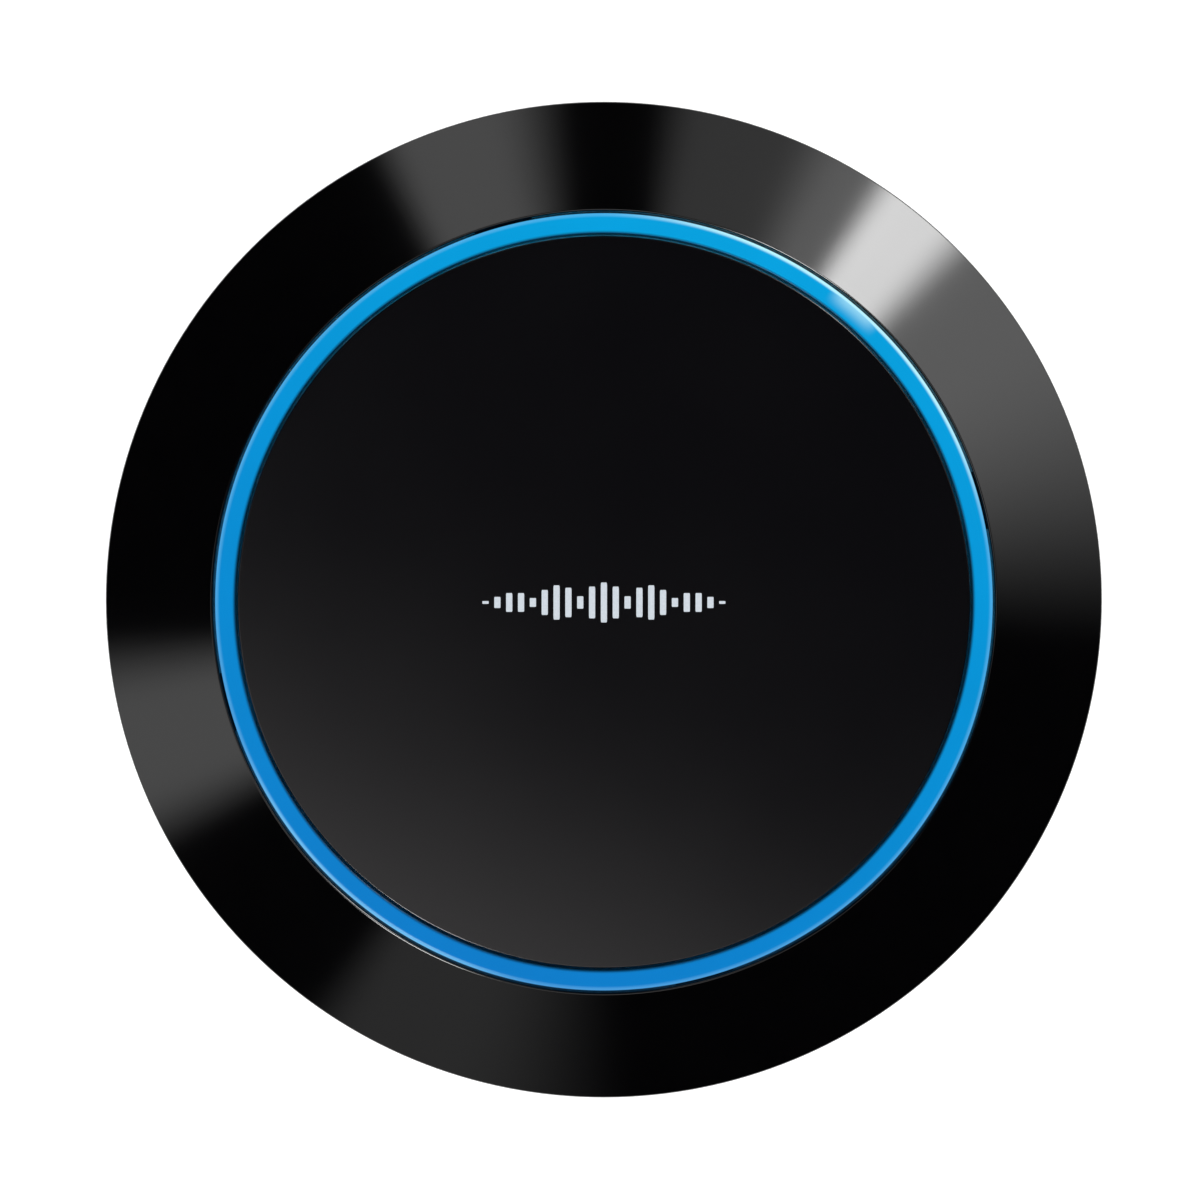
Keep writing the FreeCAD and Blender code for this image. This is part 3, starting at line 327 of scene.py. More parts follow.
def lit_diffuser():
    """Blue diffuser lit from below and brighter over each diode, with painted light in its glow:
    brighter at the back right as if lit from there, painted shade along its inner edge, and a painted
    highlight along its outer edge with a small painted glint, most of all on the side of the key light."""
    m = Shader("ring_lit_blue")
    # Painted light: the blue is brighter towards one side, as if lit from there.
    painted_lit_side = m.spread(m.along(RING_PAINTED_LIT_SIDE), 0.0, 1.0, -ring_outer_r, ring_outer_r)
    x, y = m.axes()["X"], m.axes()["Y"]
    beads = m.maths("COSINE", m.maths("MULTIPLY", m.maths("ARCTAN2", y, x), DIODES))
    radius = m.from_axis()
    # Painted shade: the glow darkens along the inner edge, beside the plate.
    inner = m.fade(radius, ring_inner_r, ring_inner_r + RING_INNER_SHADE_WIDTH)
    outer = m.fade(radius, ring_outer_r + 0.01 * MM, ring_outer_r - 0.06 * MM)
    level = m.maths("MULTIPLY_ADD", beads, 0.012, m.spread(m.noise(2.5 * MM), 0.97, 1.03))
    level = m.maths("MULTIPLY", level, m.maths("MULTIPLY", inner, outer))

    # Painted highlights: the glow turns pale along the outer edge, most on the key light's side and a
    # little on the far side.
    near_key = m.maths("DIVIDE", m.along(KEY_SIDE), radius)  # cosine of the angle to the key light
    key_side_highlight = m.fade(near_key, 0.74, 0.96)
    far_side_highlight = m.fade(m.maths("MULTIPLY", near_key, -1.0), 0.87, 0.99)
    highlight_strength = m.maths("MULTIPLY_ADD", key_side_highlight, 0.6, m.maths("MULTIPLY_ADD", far_side_highlight, 0.42, 0.28))
    pale_start, pale_full = RING_PAINTED_HIGHLIGHT_EDGE
    edge_highlight_mask = m.fade(radius, ring_outer_r - pale_start, ring_outer_r - pale_full)
    # A small painted glint where the key light would catch the ring.
    spot = m.maths("MULTIPLY", m.fade(near_key, 0.9965, 0.9999), 0.55)
    spot = m.maths("MULTIPLY", spot, m.fade(radius, ring_inner_r + 0.2 * MM, ring_outer_r))
    painted_highlight = m.maths("MAXIMUM", m.maths("MULTIPLY", edge_highlight_mask, highlight_strength), spot)

    blue = m.blend(painted_lit_side, (0.0003, 0.175, 0.53), (0.0005, 0.335, 0.68))
    # Pale colour of the painted highlight, paler on the key light's side.
    white = m.blend(key_side_highlight, (0.22, 0.62, 0.95), (0.55, 0.95, 1.0))
    m.set(Base_Color=(0.0004, 0.02, 0.05, 1), Roughness=0.2, IOR=1.5, Specular_IOR_Level=0.06)
    m.set(Emission_Color=m.blend(painted_highlight, blue, white))
    m.set(Emission_Strength=level, Normal=m.bump(m.noise(0.5 * MM), 0.0004 * MM))
    return m.material


def moulded(name, colour, roughness=0.5, grain=0.2 * MM, depth=0.006 * MM, shift=0.25):
    """Plain moulded plastic or rubber, with a fine spark-eroded grain and soft patches."""
    m = Shader(name)
    patches = m.noise(6 * MM, detail=4)
    darker = tuple(c * (1 - shift) for c in colour)
    lighter = tuple(c * (1 + shift) for c in colour)
    m.set(Base_Color=m.blend(patches, darker, lighter))
    m.set(Roughness=m.spread(patches, roughness - 0.06, roughness + 0.06))
    height = m.maths("ADD", m.noise(grain, detail=2), m.noise(grain * 3, detail=1))
    m.set(Normal=m.bump(height, depth))
    return m.material


def metal(name, colour, roughness=0.3, streak=(1, 1, 12), size=0.6 * MM):
    """Bare or plated metal with fine drawing marks along one axis and a faint tarnish."""
    m = Shader(name)
    marks = m.noise(size, detail=3, at=m.stretched(streak))
    tarnish = m.noise(2.5 * MM, detail=4)
    m.set(Base_Color=m.blend(tarnish, tuple(c * 0.82 for c in colour), colour), Metallic=1.0)
    m.set(Roughness=m.spread(marks, roughness - 0.08, roughness + 0.1))
    m.set(Normal=m.bump(marks, 0.0008 * MM))
    return m.material


def circuit_board(name, mask, track):
    """Solder mask over a glass weave, with paler tracks and round pads showing through."""
    m = Shader(name)
    weave = m.add("ShaderNodeTexWave", {"Vector": m.place, "Scale": 900.0}, bands_direction="DIAGONAL")
    bricks = m.add(
        "ShaderNodeTexBrick",
        {"Vector": m.place, "Scale": 420.0, "Mortar Size": 0.08, "Brick Width": 2.4, "Row Height": 0.5},
    )
    pads = m.maths("LESS_THAN", m.cells(1.5 * MM), 0.16)
    copper = m.maths("MAXIMUM", bricks.outputs["Fac"], pads)
    m.set(Base_Color=m.blend(copper, mask, track))
    m.set(Roughness=m.spread(weave.outputs["Fac"], 0.28, 0.42))
    m.set(Normal=m.bump(copper, 0.02 * MM))
    return m.material


def blank_label():
    """Dark polyester label with one thin paler border and nothing printed inside it."""
    m = Shader("label_blank")
    x, y = m.axes()["X"], m.axes()["Y"]
    half_x, half_y = label_high.x, label_high.y
    to_side = m.maths("SUBTRACT", half_x, m.maths("ABSOLUTE", x))
    to_end = m.maths("SUBTRACT", half_y, m.maths("ABSOLUTE", y))
    inset = m.maths("MINIMUM", to_side, to_end)
    line = m.maths("COMPARE", inset, LABEL_LINE_INSET, LABEL_LINE / 2)
    m.set(Base_Color=m.blend(line, (0.045, 0.045, 0.048), (0.42, 0.42, 0.43)))
    m.set(Roughness=m.spread(m.noise(0.4 * MM), 0.38, 0.5))
    m.set(Normal=m.bump(m.noise(0.25 * MM, detail=4), 0.002 * MM))
    return m.material


def printed_ink():
    """Pale grey pad-printed ink."""
    m = Shader("mark_ink")
    speckle = m.noise(0.15 * MM, detail=3)
    m.set(Base_Color=m.blend(speckle, (0.42, 0.47, 0.52), (0.55, 0.60, 0.65)))
    m.set(Roughness=m.spread(speckle, 0.4, 0.55))
    m.set(Normal=m.bump(speckle, 0.0008 * MM))
    return m.material


finishes = {
    "gloss_black": gloss_rim(),
    "plate_black": satin_plate(),
    "blue_diffuser": lit_diffuser(),
    "matt_black": moulded("case_spark", (0.012, 0.012, 0.0135), 0.46, 0.16 * MM, 0.008 * MM),
    "white_plastic": moulded("frame_white", (0.72, 0.72, 0.69), 0.42, shift=0.04),
    "rubber": moulded("foot_rubber", (0.016, 0.016, 0.017), 0.78, 0.1 * MM, 0.006 * MM, 0.4),
    "label_grey": blank_label(),
    "tape": moulded("tape_white", (0.62, 0.60, 0.55), 0.6, 0.4 * MM, shift=0.06),
    "foam": moulded("foam_black", (0.01, 0.01, 0.01), 0.95, 0.3 * MM, 0.05 * MM),
    "board_green": circuit_board("board_green", (0.006, 0.07, 0.03), (0.02, 0.16, 0.06)),
    "board_white": circuit_board("board_white", (0.62, 0.64, 0.62), (0.74, 0.75, 0.72)),
    "module_blue": circuit_board("module_blue", (0.004, 0.025, 0.12), (0.01, 0.07, 0.26)),
    "chip_black": moulded("chip_epoxy", (0.02, 0.02, 0.021), 0.5, 0.08 * MM, 0.003 * MM),
    "led_white": moulded("diode_white", (0.8, 0.8, 0.72), 0.25, shift=0.03),
    "tinned_steel": metal("steel_tinned", (0.62, 0.61, 0.58), 0.28),
    "nickel": metal("nickel_plated", (0.66, 0.64, 0.60), 0.16, (1, 8, 1), 0.3 * MM),
    "gold": metal("gold_flash", (0.90, 0.66, 0.28), 0.2, (1, 8, 1), 0.2 * MM),
    "aluminium": metal("can_aluminium", (0.80, 0.80, 0.81), 0.26, (1, 1, 6)),
    "ferrite": moulded("coil_ferrite", (0.05, 0.05, 0.052), 0.55, 0.25 * MM, 0.01 * MM),
    "ceramic_tan": moulded("ceramic_tan", (0.42, 0.27, 0.15), 0.4, 0.1 * MM, 0.002 * MM),
    "ceramic_white": moulded("ceramic_white", (0.72, 0.72, 0.74), 0.3, shift=0.05),
    "zinc_black": metal("zinc_black", (0.035, 0.035, 0.038), 0.42),
    "amber_film": moulded("film_amber", (0.45, 0.16, 0.02), 0.25, 1.2 * MM, 0.004 * MM, 0.15),
    "ivory": moulded("nylon_ivory", (0.70, 0.64, 0.48), 0.45, shift=0.05),
}
ink = printed_ink()

# ---------------------------------------------------------------- geometry node trees


class Tree:
    """A geometry node tree with named inputs, which ends in Realize Instances and Set Material."""

    def __init__(self, name, **inputs):
        self.tree = bpy.data.node_groups.new(name, "GeometryNodeTree")
        face = self.tree.interface
        face.new_socket("Geometry", in_out="INPUT", socket_type="NodeSocketGeometry")
        for label, value in inputs.items():
            kind = "NodeSocketInt" if isinstance(value, int) else "NodeSocketFloat"
            socket = face.new_socket(label.replace("_", " "), in_out="INPUT", socket_type=kind)
            socket.default_value = value
        face.new_socket("Finish", in_out="INPUT", socket_type="NodeSocketMaterial")
        face.new_socket("Geometry", in_out="OUTPUT", socket_type="NodeSocketGeometry")
        self.inputs = self.tree.nodes.new("NodeGroupInput").outputs

    def add(self, kind, inputs, **settings):
        """Outputs of a new node, whose inputs are values or other nodes' outputs."""
        new = self.tree.nodes.new(kind if kind.startswith("Shader") else f"GeometryNode{kind}")
        for name, setting in settings.items():
            setattr(new, name, setting)
        for name, value in inputs.items():
            if isinstance(value, bpy.types.NodeSocket):
                self.tree.links.new(value, new.inputs[name])
            else:
                new.inputs[name].default_value = value
        return new.outputs

    def maths(self, operation, *values):
        return self.add("ShaderNodeMath", dict(enumerate(values)), operation=operation)[0]

    def end(self, geometry):
        """Makes copies real, gives them the finish and closes the tree."""
        real = self.add("RealizeInstances", {"Geometry": geometry})["Geometry"]
        done = self.add("SetMaterial", {"Geometry": real, "Material": self.inputs["Finish"]})
        end = self.tree.nodes.new("NodeGroupOutput")
        self.tree.links.new(done["Geometry"], end.inputs["Geometry"])
        return self.tree


def turning_tree():
    """Sweeps an outline of (radius, -height) round the Z axis, along a circle of Path radius."""
    t = Tree("turned_about_z", Path_radius=0.034, Steps=TURN_STEPS)
    profile = t.add("MeshToCurve", {"Mesh": t.inputs["Geometry"]})["Curve"]
    size = {"Resolution": t.inputs["Steps"], "Radius": t.inputs["Path radius"]}
    path = t.add("CurvePrimitiveCircle", size)["Curve"]
    swept = t.add("CurveToMesh", {"Curve": path, "Profile Curve": profile})["Mesh"]
    merged = t.add("MergeByDistance", {"Geometry": swept, "Distance": SAME_POINT})["Geometry"]
    return t.end(merged)


def round_circle_tree():
    """Copies a shape round the Z axis, turned to face outwards."""
    t = Tree("set_round_a_circle", Count=4, First_angle=0.0, Radius=0.02)
    points = t.add("Points", {"Count": t.inputs["Count"]})["Points"]
    index = t.add("InputIndex", {})["Index"]
    step = t.maths("DIVIDE", math.tau, t.inputs["Count"])
    angle = t.maths("ADD", t.maths("MULTIPLY", index, step), t.inputs["First angle"])
    place = t.add(
        "ShaderNodeCombineXYZ",
        {
            "X": t.maths("MULTIPLY", t.maths("COSINE", angle), t.inputs["Radius"]),
            "Y": t.maths("MULTIPLY", t.maths("SINE", angle), t.inputs["Radius"]),
        },
    )["Vector"]
    turn = t.add("ShaderNodeCombineXYZ", {"Z": angle})["Vector"]
    placed = t.add("SetPosition", {"Geometry": points, "Position": place})["Geometry"]
    copies = {"Points": placed, "Instance": t.inputs["Geometry"], "Rotation": turn}
    return t.end(t.add("InstanceOnPoints", copies)["Instances"])


def level_bar_tree():
    """A row of bars along X whose heights swell and fade like a sound level."""
    t = Tree("level_bars", Count=19, Pitch=0.001, Bar_width=0.0005, Tallest=0.002, Thickness=0.00002)
    index = t.add("InputIndex", {})["Index"]
    last = t.maths("SUBTRACT", t.inputs["Count"], 1)
    from_middle = t.maths("SUBTRACT", t.maths("DIVIDE", index, last), 0.5)
    swell = t.maths("COSINE", t.maths("MULTIPLY", from_middle, math.pi * 0.86))
    beat = t.maths("ABSOLUTE", t.maths("COSINE", t.maths("MULTIPLY", from_middle, math.pi * 5)))
    part = t.maths("MULTIPLY", swell, t.maths("MULTIPLY_ADD", beat, 0.68, 0.32))
    height = t.maths("MULTIPLY", part, t.inputs["Tallest"])
    points = t.add("Points", {"Count": t.inputs["Count"]})["Points"]
    steps_out = t.maths("MULTIPLY", from_middle, last)
    across = t.maths("MULTIPLY", steps_out, t.inputs["Pitch"])
    place = t.add("ShaderNodeCombineXYZ", {"X": across})["Vector"]
    placed = t.add("SetPosition", {"Geometry": points, "Position": place})["Geometry"]
    size = {"X": t.inputs["Bar width"], "Y": height, "Z": t.inputs["Thickness"]}
    scale = t.add("ShaderNodeCombineXYZ", size)["Vector"]
    copies = {"Points": placed, "Instance": t.inputs["Geometry"], "Scale": scale}
    return t.end(t.add("InstanceOnPoints", copies)["Instances"])


TURNING = turning_tree()
ROUND_CIRCLE = round_circle_tree()
LEVEL_BARS = level_bar_tree()


# ---------------------------------------------------------------- shape helpers


def new_object(name, mesh):
    """Puts a mesh into the scene as an object at the origin."""
    piece = bpy.data.objects.new(name, mesh)
    bpy.context.scene.collection.objects.link(piece)
    return piece


def settle(piece):
    """Makes the result of a piece's modifiers its own plain mesh."""
    graph = bpy.context.evaluated_depsgraph_get()
    mesh = bpy.data.meshes.new_from_object(piece.evaluated_get(graph))
    piece.modifiers.clear()
    piece.data = mesh
    return piece


def grow(piece, tree, finish, **inputs):
    """Runs a geometry node tree on a piece and keeps the result."""
    modifier = piece.modifiers.new(tree.name, "NODES")
    modifier.node_group = tree
    sockets = {s.name: s.identifier for s in tree.interface.items_tree if s.in_out == "INPUT"}
    for name, value in inputs.items():
        modifier[sockets[name.replace("_", " ")]] = value
    modifier[sockets["Finish"]] = finish
    return settle(piece)


def tidy_mesh(piece):
    """Merges doubles, turns faces outwards, and smooths all but the edges sharper than CREASE."""
    edit = bmesh.new()
    edit.from_mesh(piece.data)
    bmesh.ops.remove_doubles(edit, verts=edit.verts, dist=SAME_POINT)
    bmesh.ops.recalc_face_normals(edit, faces=edit.faces)
    edit.to_mesh(piece.data)
    edit.free()
    piece.data.shade_smooth()
    piece.data.set_sharp_from_angle(angle=CREASE)
    return piece


def even_normals(piece):
    """Lets the large faces set the shading beside small ones."""
    modifier = piece.modifiers.new("even_normals", "WEIGHTED_NORMAL")
    modifier.keep_sharp = True
    return settle(piece)


def rounded_corner(before, corner, after, size, hold):
    """Points of an arc that rounds one corner of an outline, with a short flat held each side."""
    back, on = (before - corner).normalized(), (after - corner).normalized()
    half = back.angle(on) / 2
    reach = size / math.tan(half)
    centre = corner + (back + on).normalized() * size / math.sin(half)
    start, stop = corner + back * reach, corner + on * reach
    sweep = math.pi - 2 * half
    turn = sweep if (corner - before).cross(after - corner) > 0 else -sweep
    steps = max(2, round(ARC_STEPS * sweep / (math.pi / 2)))
    arc = [centre + Matrix.Rotation(turn * n / steps, 2) @ (start - centre) for n in range(steps + 1)]
    return [start + back * hold, *arc, stop + on * hold] if hold else arc


def rounded_outline(corners, hold=0.0):
    """Points of a closed outline from corners (x, y, round). A round of 0 leaves the corner sharp."""
    places = [Vector(corner[:2]) for corner in corners]
    points = []
    for n, (place, corner) in enumerate(zip(places, corners)):
        before, after = places[n - 1], places[(n + 1) % len(places)]
        points += rounded_corner(before, place, after, corner[2], hold) if corner[2] else [place]
    return points


def rectangle(width, height, corner, steps=1):
    """A rounded rectangle about the origin: a function that gives its points, larger by more. Its
    upper and lower sides are divided into steps, to follow a curved wall."""

    def outline(more=0.0):
        x, y, r = width / 2 + more, height / 2 + more, corner + more
        along = [(x - r) * (2 * n / steps - 1) for n in range(1, steps)]
        lower = [(-x, -y, r), *[(u, -y, 0) for u in along], (x, -y, r)]
        upper = [(x, y, r), *[(-u, y, 0) for u in along], (-x, y, r)]
        return rounded_outline(lower + upper)

    return outline


def circle(radius, steps=64):
    """A circle about the origin: a function that gives its points, larger by more."""

    def outline(more=0.0):
        turns = [math.tau * n / steps for n in range(steps)]
        return [Vector((math.cos(a), math.sin(a))) * (radius + more) for a in turns]

    return outline


def turned(name, corners, finish, steps=TURN_STEPS, hold=HOLD):
    """A piece of revolution about Z from corners (radius, height, round), closed or ending on Z."""
    points = rounded_outline(corners, hold)
    edges = [(n, n + 1) for n in range(len(points) - 1)]
    if corners[0][0] > 0:
        edges.append((len(points) - 1, 0))
    mesh = bpy.data.meshes.new(name)
    mesh.from_pydata([(p.x - outer_r, -p.y, 0) for p in points], edges, [])
    size = {"Path_radius": outer_r, "Steps": steps}
    return tidy_mesh(grow(new_object(name, mesh), TURNING, finish, **size))


def lofted(name, loops, finish):
    """A closed skin through loops of points, with a face across the first and the last."""
    count = len(loops[0])
    faces = [list(range(count)), [count * (len(loops) - 1) + n for n in range(count)]]
    for row in range(len(loops) - 1):
        here, there = row * count, (row + 1) * count
        for n in range(count):
            after = (n + 1) % count
            faces.append((here + n, here + after, there + after, there + n))
    mesh = bpy.data.meshes.new(name)
    mesh.from_pydata([tuple(point) for loop in loops for point in loop], [], faces)
    mesh.materials.append(finish)
    return tidy_mesh(new_object(name, mesh))


def slab(name, outline, low, high, finish, edge=0.0):
    """An upright slab of this outline, with its top and bottom edges rounded by edge."""
    turns = [math.pi / 2 * n / ARC_STEPS for n in range(ARC_STEPS + 1)] if edge else [math.pi / 2]
    under = [(edge * (math.sin(a) - 1), edge * (1 - math.cos(a))) for a in turns]
    levels = [(more, low + up) for more, up in under]
    levels += [(more, high - up) for more, up in reversed(under)]
    return lofted(name, [[(p.x, p.y, z) for p in outline(more)] for more, z in levels], finish)


def joined(name, pieces, finish):
    """One piece from several that overlap or lie apart."""
    edit = bmesh.new()
    for piece in pieces:
        edit.from_mesh(piece.data)
        bpy.data.objects.remove(piece)
    mesh = bpy.data.meshes.new(name)
    edit.to_mesh(mesh)
    edit.free()
    mesh.materials.append(finish)
    return tidy_mesh(new_object(name, mesh))


def moved(piece, matrix):
    """Moves a piece's mesh, so that its object stays at the origin."""
    piece.data.transform(matrix)
    return tidy_mesh(piece)


def carve(piece, *tools, operation="DIFFERENCE"):
    """Cuts tools out of a piece one after another, or adds them to it."""
    for tool in tools:
        modifier = piece.modifiers.new(tool.name, "BOOLEAN")
        modifier.operation, modifier.object, modifier.solver = operation, tool, "EXACT"
        tidy_mesh(settle(piece))
        bpy.data.objects.remove(tool)
    return piece


def outwards(u, v, out):
    """A point on the port side: u across, v up, out along +Y."""
    return u, out, v


def downwards(u, v, out):
    """A point under the case: out is downwards."""
    return u, v, -out


def flat_face(out):
    """The surface that stands at the same distance out everywhere."""
    return lambda u, v: out


def opening(name, outline, place, at, back, surface, lip, corner, finish):
    """A cutter for a hole about the point at, with a rounded mouth. Its corner is filleted at the
    height back, and its lip is rounded over where it comes out of surface(u, v)."""
    turns = [math.pi / 2 * n / ARC_STEPS for n in range(ARC_STEPS)]
    inside = [(corner * (math.sin(a) - 1), back + corner * (1 - math.cos(a))) for a in turns]
    mouth = [(lip * (1 - math.cos(a)), lip * (math.sin(a) - 1)) for a in turns]
    mouth.append((lip * 1.1, lip * 0.3))  # clear of the surface, so that the cut is clean
    loops = []
    for more, out in inside:
        loops.append([place(at[0] + p.x, at[1] + p.y, out) for p in outline(more)])
    for more, out in mouth:
        spots = [(at[0] + p.x, at[1] + p.y) for p in outline(more)]
        loops.append([place(u, v, surface(u, v) + out) for u, v in spots])
    clear = max(surface(u, v) for u, v in spots) + CUTTER_CLEAR
    loops.append([place(u, v, clear) for u, v in spots])
    return lofted(name, loops, finish)


def finished(piece, replaced=(), body="receiver"):
    """Puts a piece on its body, in place of the nodes that it stands for."""
    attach(piece, body)
    if replaced:
        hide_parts(*replaced)


# ---------------------------------------------------------------- rim, ring and plate


def make_rim():
    """Sloped gloss rim with its skirt, inner flange, screw pads and notches for the ring's tabs."""
    finish = finishes["gloss_black"]
    skirt_r = outer_r - SKIRT_WALL
    skin = turned(
        "rim_skin",
        [
            (bore_r, flange_bottom, CRISP),
            (bore_r, rim_top, BORE_ROUND),
            (outer_r, rim_edge, EDGE_ROUND),
            (outer_r, skirt_bottom, 2 * CRISP),
            (skirt_r, skirt_bottom, 2 * CRISP),
            (skirt_r, rim_height(skirt_r) - RIM_WALL, CRISP),
            (flange_r, rim_height(flange_r) - RIM_WALL, CRISP),
            (flange_r, flange_bottom, CRISP),
        ],
        finish,
    )
    notch_outline = rectangle(2 * RIM_FLANGE + RING_GAP, RING_TAB.y + 2 * NOTCH_GAP, CRISP)
    notch_top = ring_bottom + RING_TAB.z + NOTCH_GAP
    notch = slab("notch", notch_outline, lights_low.z, notch_top, finish)
    first = math.radians(TABS_START)
    carve(skin, grow(notch, ROUND_CIRCLE, finish, First_angle=first, Radius=bore_r + RIM_FLANGE / 2))
    finished(joined("rim", [skin, make_rim_pads(finish)], finish), ["top_bezel"])


def make_rim_pads(finish):
    """The four pads under the rim that the frame's screws go into, with their pilot holes."""
    low = lights_low.z
    pad = turned(
        "rim_pad",
        [
            (EAR_SCREW / 2, low, CRISP),
            (EAR_SCREW / 2, low + PILOT_TOP, 0),
            (EAR_SCREW / 8, low + PILOT_TOP, 0),
            (EAR_SCREW / 8, rim_top, 0),
            (PAD_RADIUS, rim_top, 0),
            (PAD_RADIUS, low, CRISP),
        ],
        finish,
        steps=48,
    )
    for vertex in pad.data.vertices:
        under_skin = rim_height(ear_circle + vertex.co.x) - RIM_WALL / 2
        vertex.co.z = min(vertex.co.z, under_skin)
    return grow(pad, ROUND_CIRCLE, finish, First_angle=math.pi / 4, Radius=ear_circle)


def make_ring():
    """Blue diffuser: a soft-edged band, and the tabs and legs that the rim holds down."""
    finish = finishes["blue_diffuser"]
    parts = [
        turned(
            "ring_band",
            [
                (ring_inner_r, ring_bottom, CRISP),
                (ring_outer_r, ring_bottom, CRISP),
                (ring_outer_r, ring_top, RING_OUTER_ROUND),
                (ring_inner_r, ring_top, RING_INNER_ROUND),
            ],
            finish,
        )
    ]
    first = math.radians(TABS_START)
    for name, size, radius, low in (
        ("ring_tabs", RING_TAB, ring_outer_r + TAB_REACH, ring_bottom),
        ("ring_legs", RING_LEG, ring_middle_r, lights_high.z),
    ):
        lug = slab(name, rectangle(size.x, size.y, 2 * CRISP), low, low + size.z, finish, CRISP)
        parts.append(grow(lug, ROUND_CIRCLE, finish, First_angle=first, Radius=radius))
    finished(joined("ring", parts, finish), ["light_ring"])


def make_plate():
    """Flat disc inside the ring, with a fine bevel round its top edge."""
    disc = turned(
        "plate",
        [
            (0, plate_low.z, 0),
            (plate_r, plate_low.z, CRISP),
            (plate_r, plate_high.z, PLATE_ROUND),
            (0, plate_high.z, 0),
        ],
        finishes["plate_black"],
    )
    finished(disc, ["top_plate"])


def make_mark():
    """Generic printed row of level bars in the middle of the plate."""
    bar = slab("mark_bar", rectangle(1, 1, 0.1), -0.5, 0.5, ink)
    mark = grow(bar, LEVEL_BARS, ink, Thickness=INK_THICK, **MARK)
    mark.name = "level_mark"
    finished(moved(mark, Matrix.Translation((0, 0, plate_high.z + INK_THICK / 2))))


# ---------------------------------------------------------------- case, feet and label


def make_case():
    """Matt case: a turned cup, cut for the port bay, the sockets, the screws, feet and label."""
    finish = finishes["matt_black"]
    inner_top_r = shell_top_r - SHELL_WALL
    case = turned(
        "case",
        [
            (0, shell_low.z, 0),
            (shell_base_r, shell_low.z, SHELL_CORNER),
            (shell_top_r, shell_top, 2 * CRISP),
            (inner_top_r + TONGUE_WALL, shell_top, CRISP),
            (inner_top_r + TONGUE_WALL, shell_high.z, CRISP),
            (0, shell_high.z, 0),
        ],
        finish,
    )
    room = turned(
        "room",
        [
            (0, floor_top, 0),
            (shell_base_r - SHELL_WALL, floor_top, 4 * CRISP),
            (inner_top_r, shell_high.z, 0),
            (inner_top_r, shell_high.z + MM, 0),
            (0, shell_high.z + MM, 0),
        ],
        finish,
    )
    half = BAY_WIDTH / 2 + SHELL_WALL
    behind = [(-half, bay_back, 2 * CRISP), (half, bay_back, 2 * CRISP), (half, outer_r, 0)]
    behind = rounded_outline([*behind, (-half, outer_r, 0)])
    carve(room, slab("behind_bay", lambda more: behind, 0, roof_top, finish))
    carve(case, room)
    carve(case, *screw_bosses(finish), operation="UNION")
    carve(case, *case_openings(finish))
    finished(even_normals(case), ["bottom_shell"])


def screw_bosses(finish):
    """The four bosses over the screw wells, which the board rests on."""
    bosses = []
    for x, y in foot_places():
        boss = slab("boss", circle(BOSS_RADIUS), floor_top - CRISP, board_bottom, finish, 2 * CRISP)
        bosses.append(moved(boss, Matrix.Translation((x, y, 0))))
    return bosses


def foot_places():
    """The middle of each foot, with the screw over it."""
    angles = [math.pi / 4 + n * math.pi / 2 for n in range(4)]
    return [(foot_circle * math.cos(angle), foot_circle * math.sin(angle)) for angle in angles]


def case_openings(finish):
    """Cutters for the port bay, the holes in its wall, and what is let into the case's underside."""

    def case_wall(u, v):
        return math.sqrt(wall_radius(v) ** 2 - u * u)

    bay_wall, underside = flat_face(bay_face), flat_face(-shell_low.z)
    through = bay_back - SHELL_WALL
    bay_outline = rectangle(BAY_WIDTH, bay_top - bay_bottom, BAY_CORNER, BAY_STEPS)
    middle = (0, (bay_top + bay_bottom) / 2)
    cutters = [
        opening("bay", bay_outline, outwards, middle, bay_face, case_wall, BAY_LIP, BAY_FILLET, finish)
    ]
    socket = socket_high - socket_low
    width, height = socket.x + 2 * SOCKET_GAP, socket.z + 2 * SOCKET_GAP
    socket_hole = rectangle(width, height, SOCKET_HOLE_CORNER)
    for name, outline, low, high in (
        ("nose_hole", circle(NOSE_DIA / 2 + NOSE_GAP), bush_low, bush_high),
        ("button_hole", circle(BUTTON_DIA / 2 + BUTTON_GAP), button_low, button_high),
        ("socket_hole", socket_hole, socket_low, socket_high),
    ):
        at = ((low.x + high.x) / 2, (low.z + high.z) / 2)
        cutters.append(opening(name, outline, outwards, at, through, bay_wall, HOLE_LIP, CRISP, finish))
    for at in foot_places():
        for name, radius, depth in (
            ("foot_recess", FOOT_DIA / 2 + RECESS_GAP, feet_high.z),
            ("screw_well", SCREW_WELL / 2, SCREW_SEAT),
            ("screw_way", SCREW_WAY / 2, board_bottom),
        ):
            hole = circle(radius)
            cutters.append(
                opening(name, hole, downwards, at, -depth, underside, HOLE_LIP, CRISP, finish)
            )
    label = label_high - label_low
    label_recess = rectangle(label.x + 2 * RECESS_GAP, label.y + 2 * RECESS_GAP, LABEL_CORNER)
    top = -label_high.z
    cutters.append(
        opening("label_recess", label_recess, downwards, (0, 0), top, underside, CRISP, CRISP, finish)
    )
    return cutters


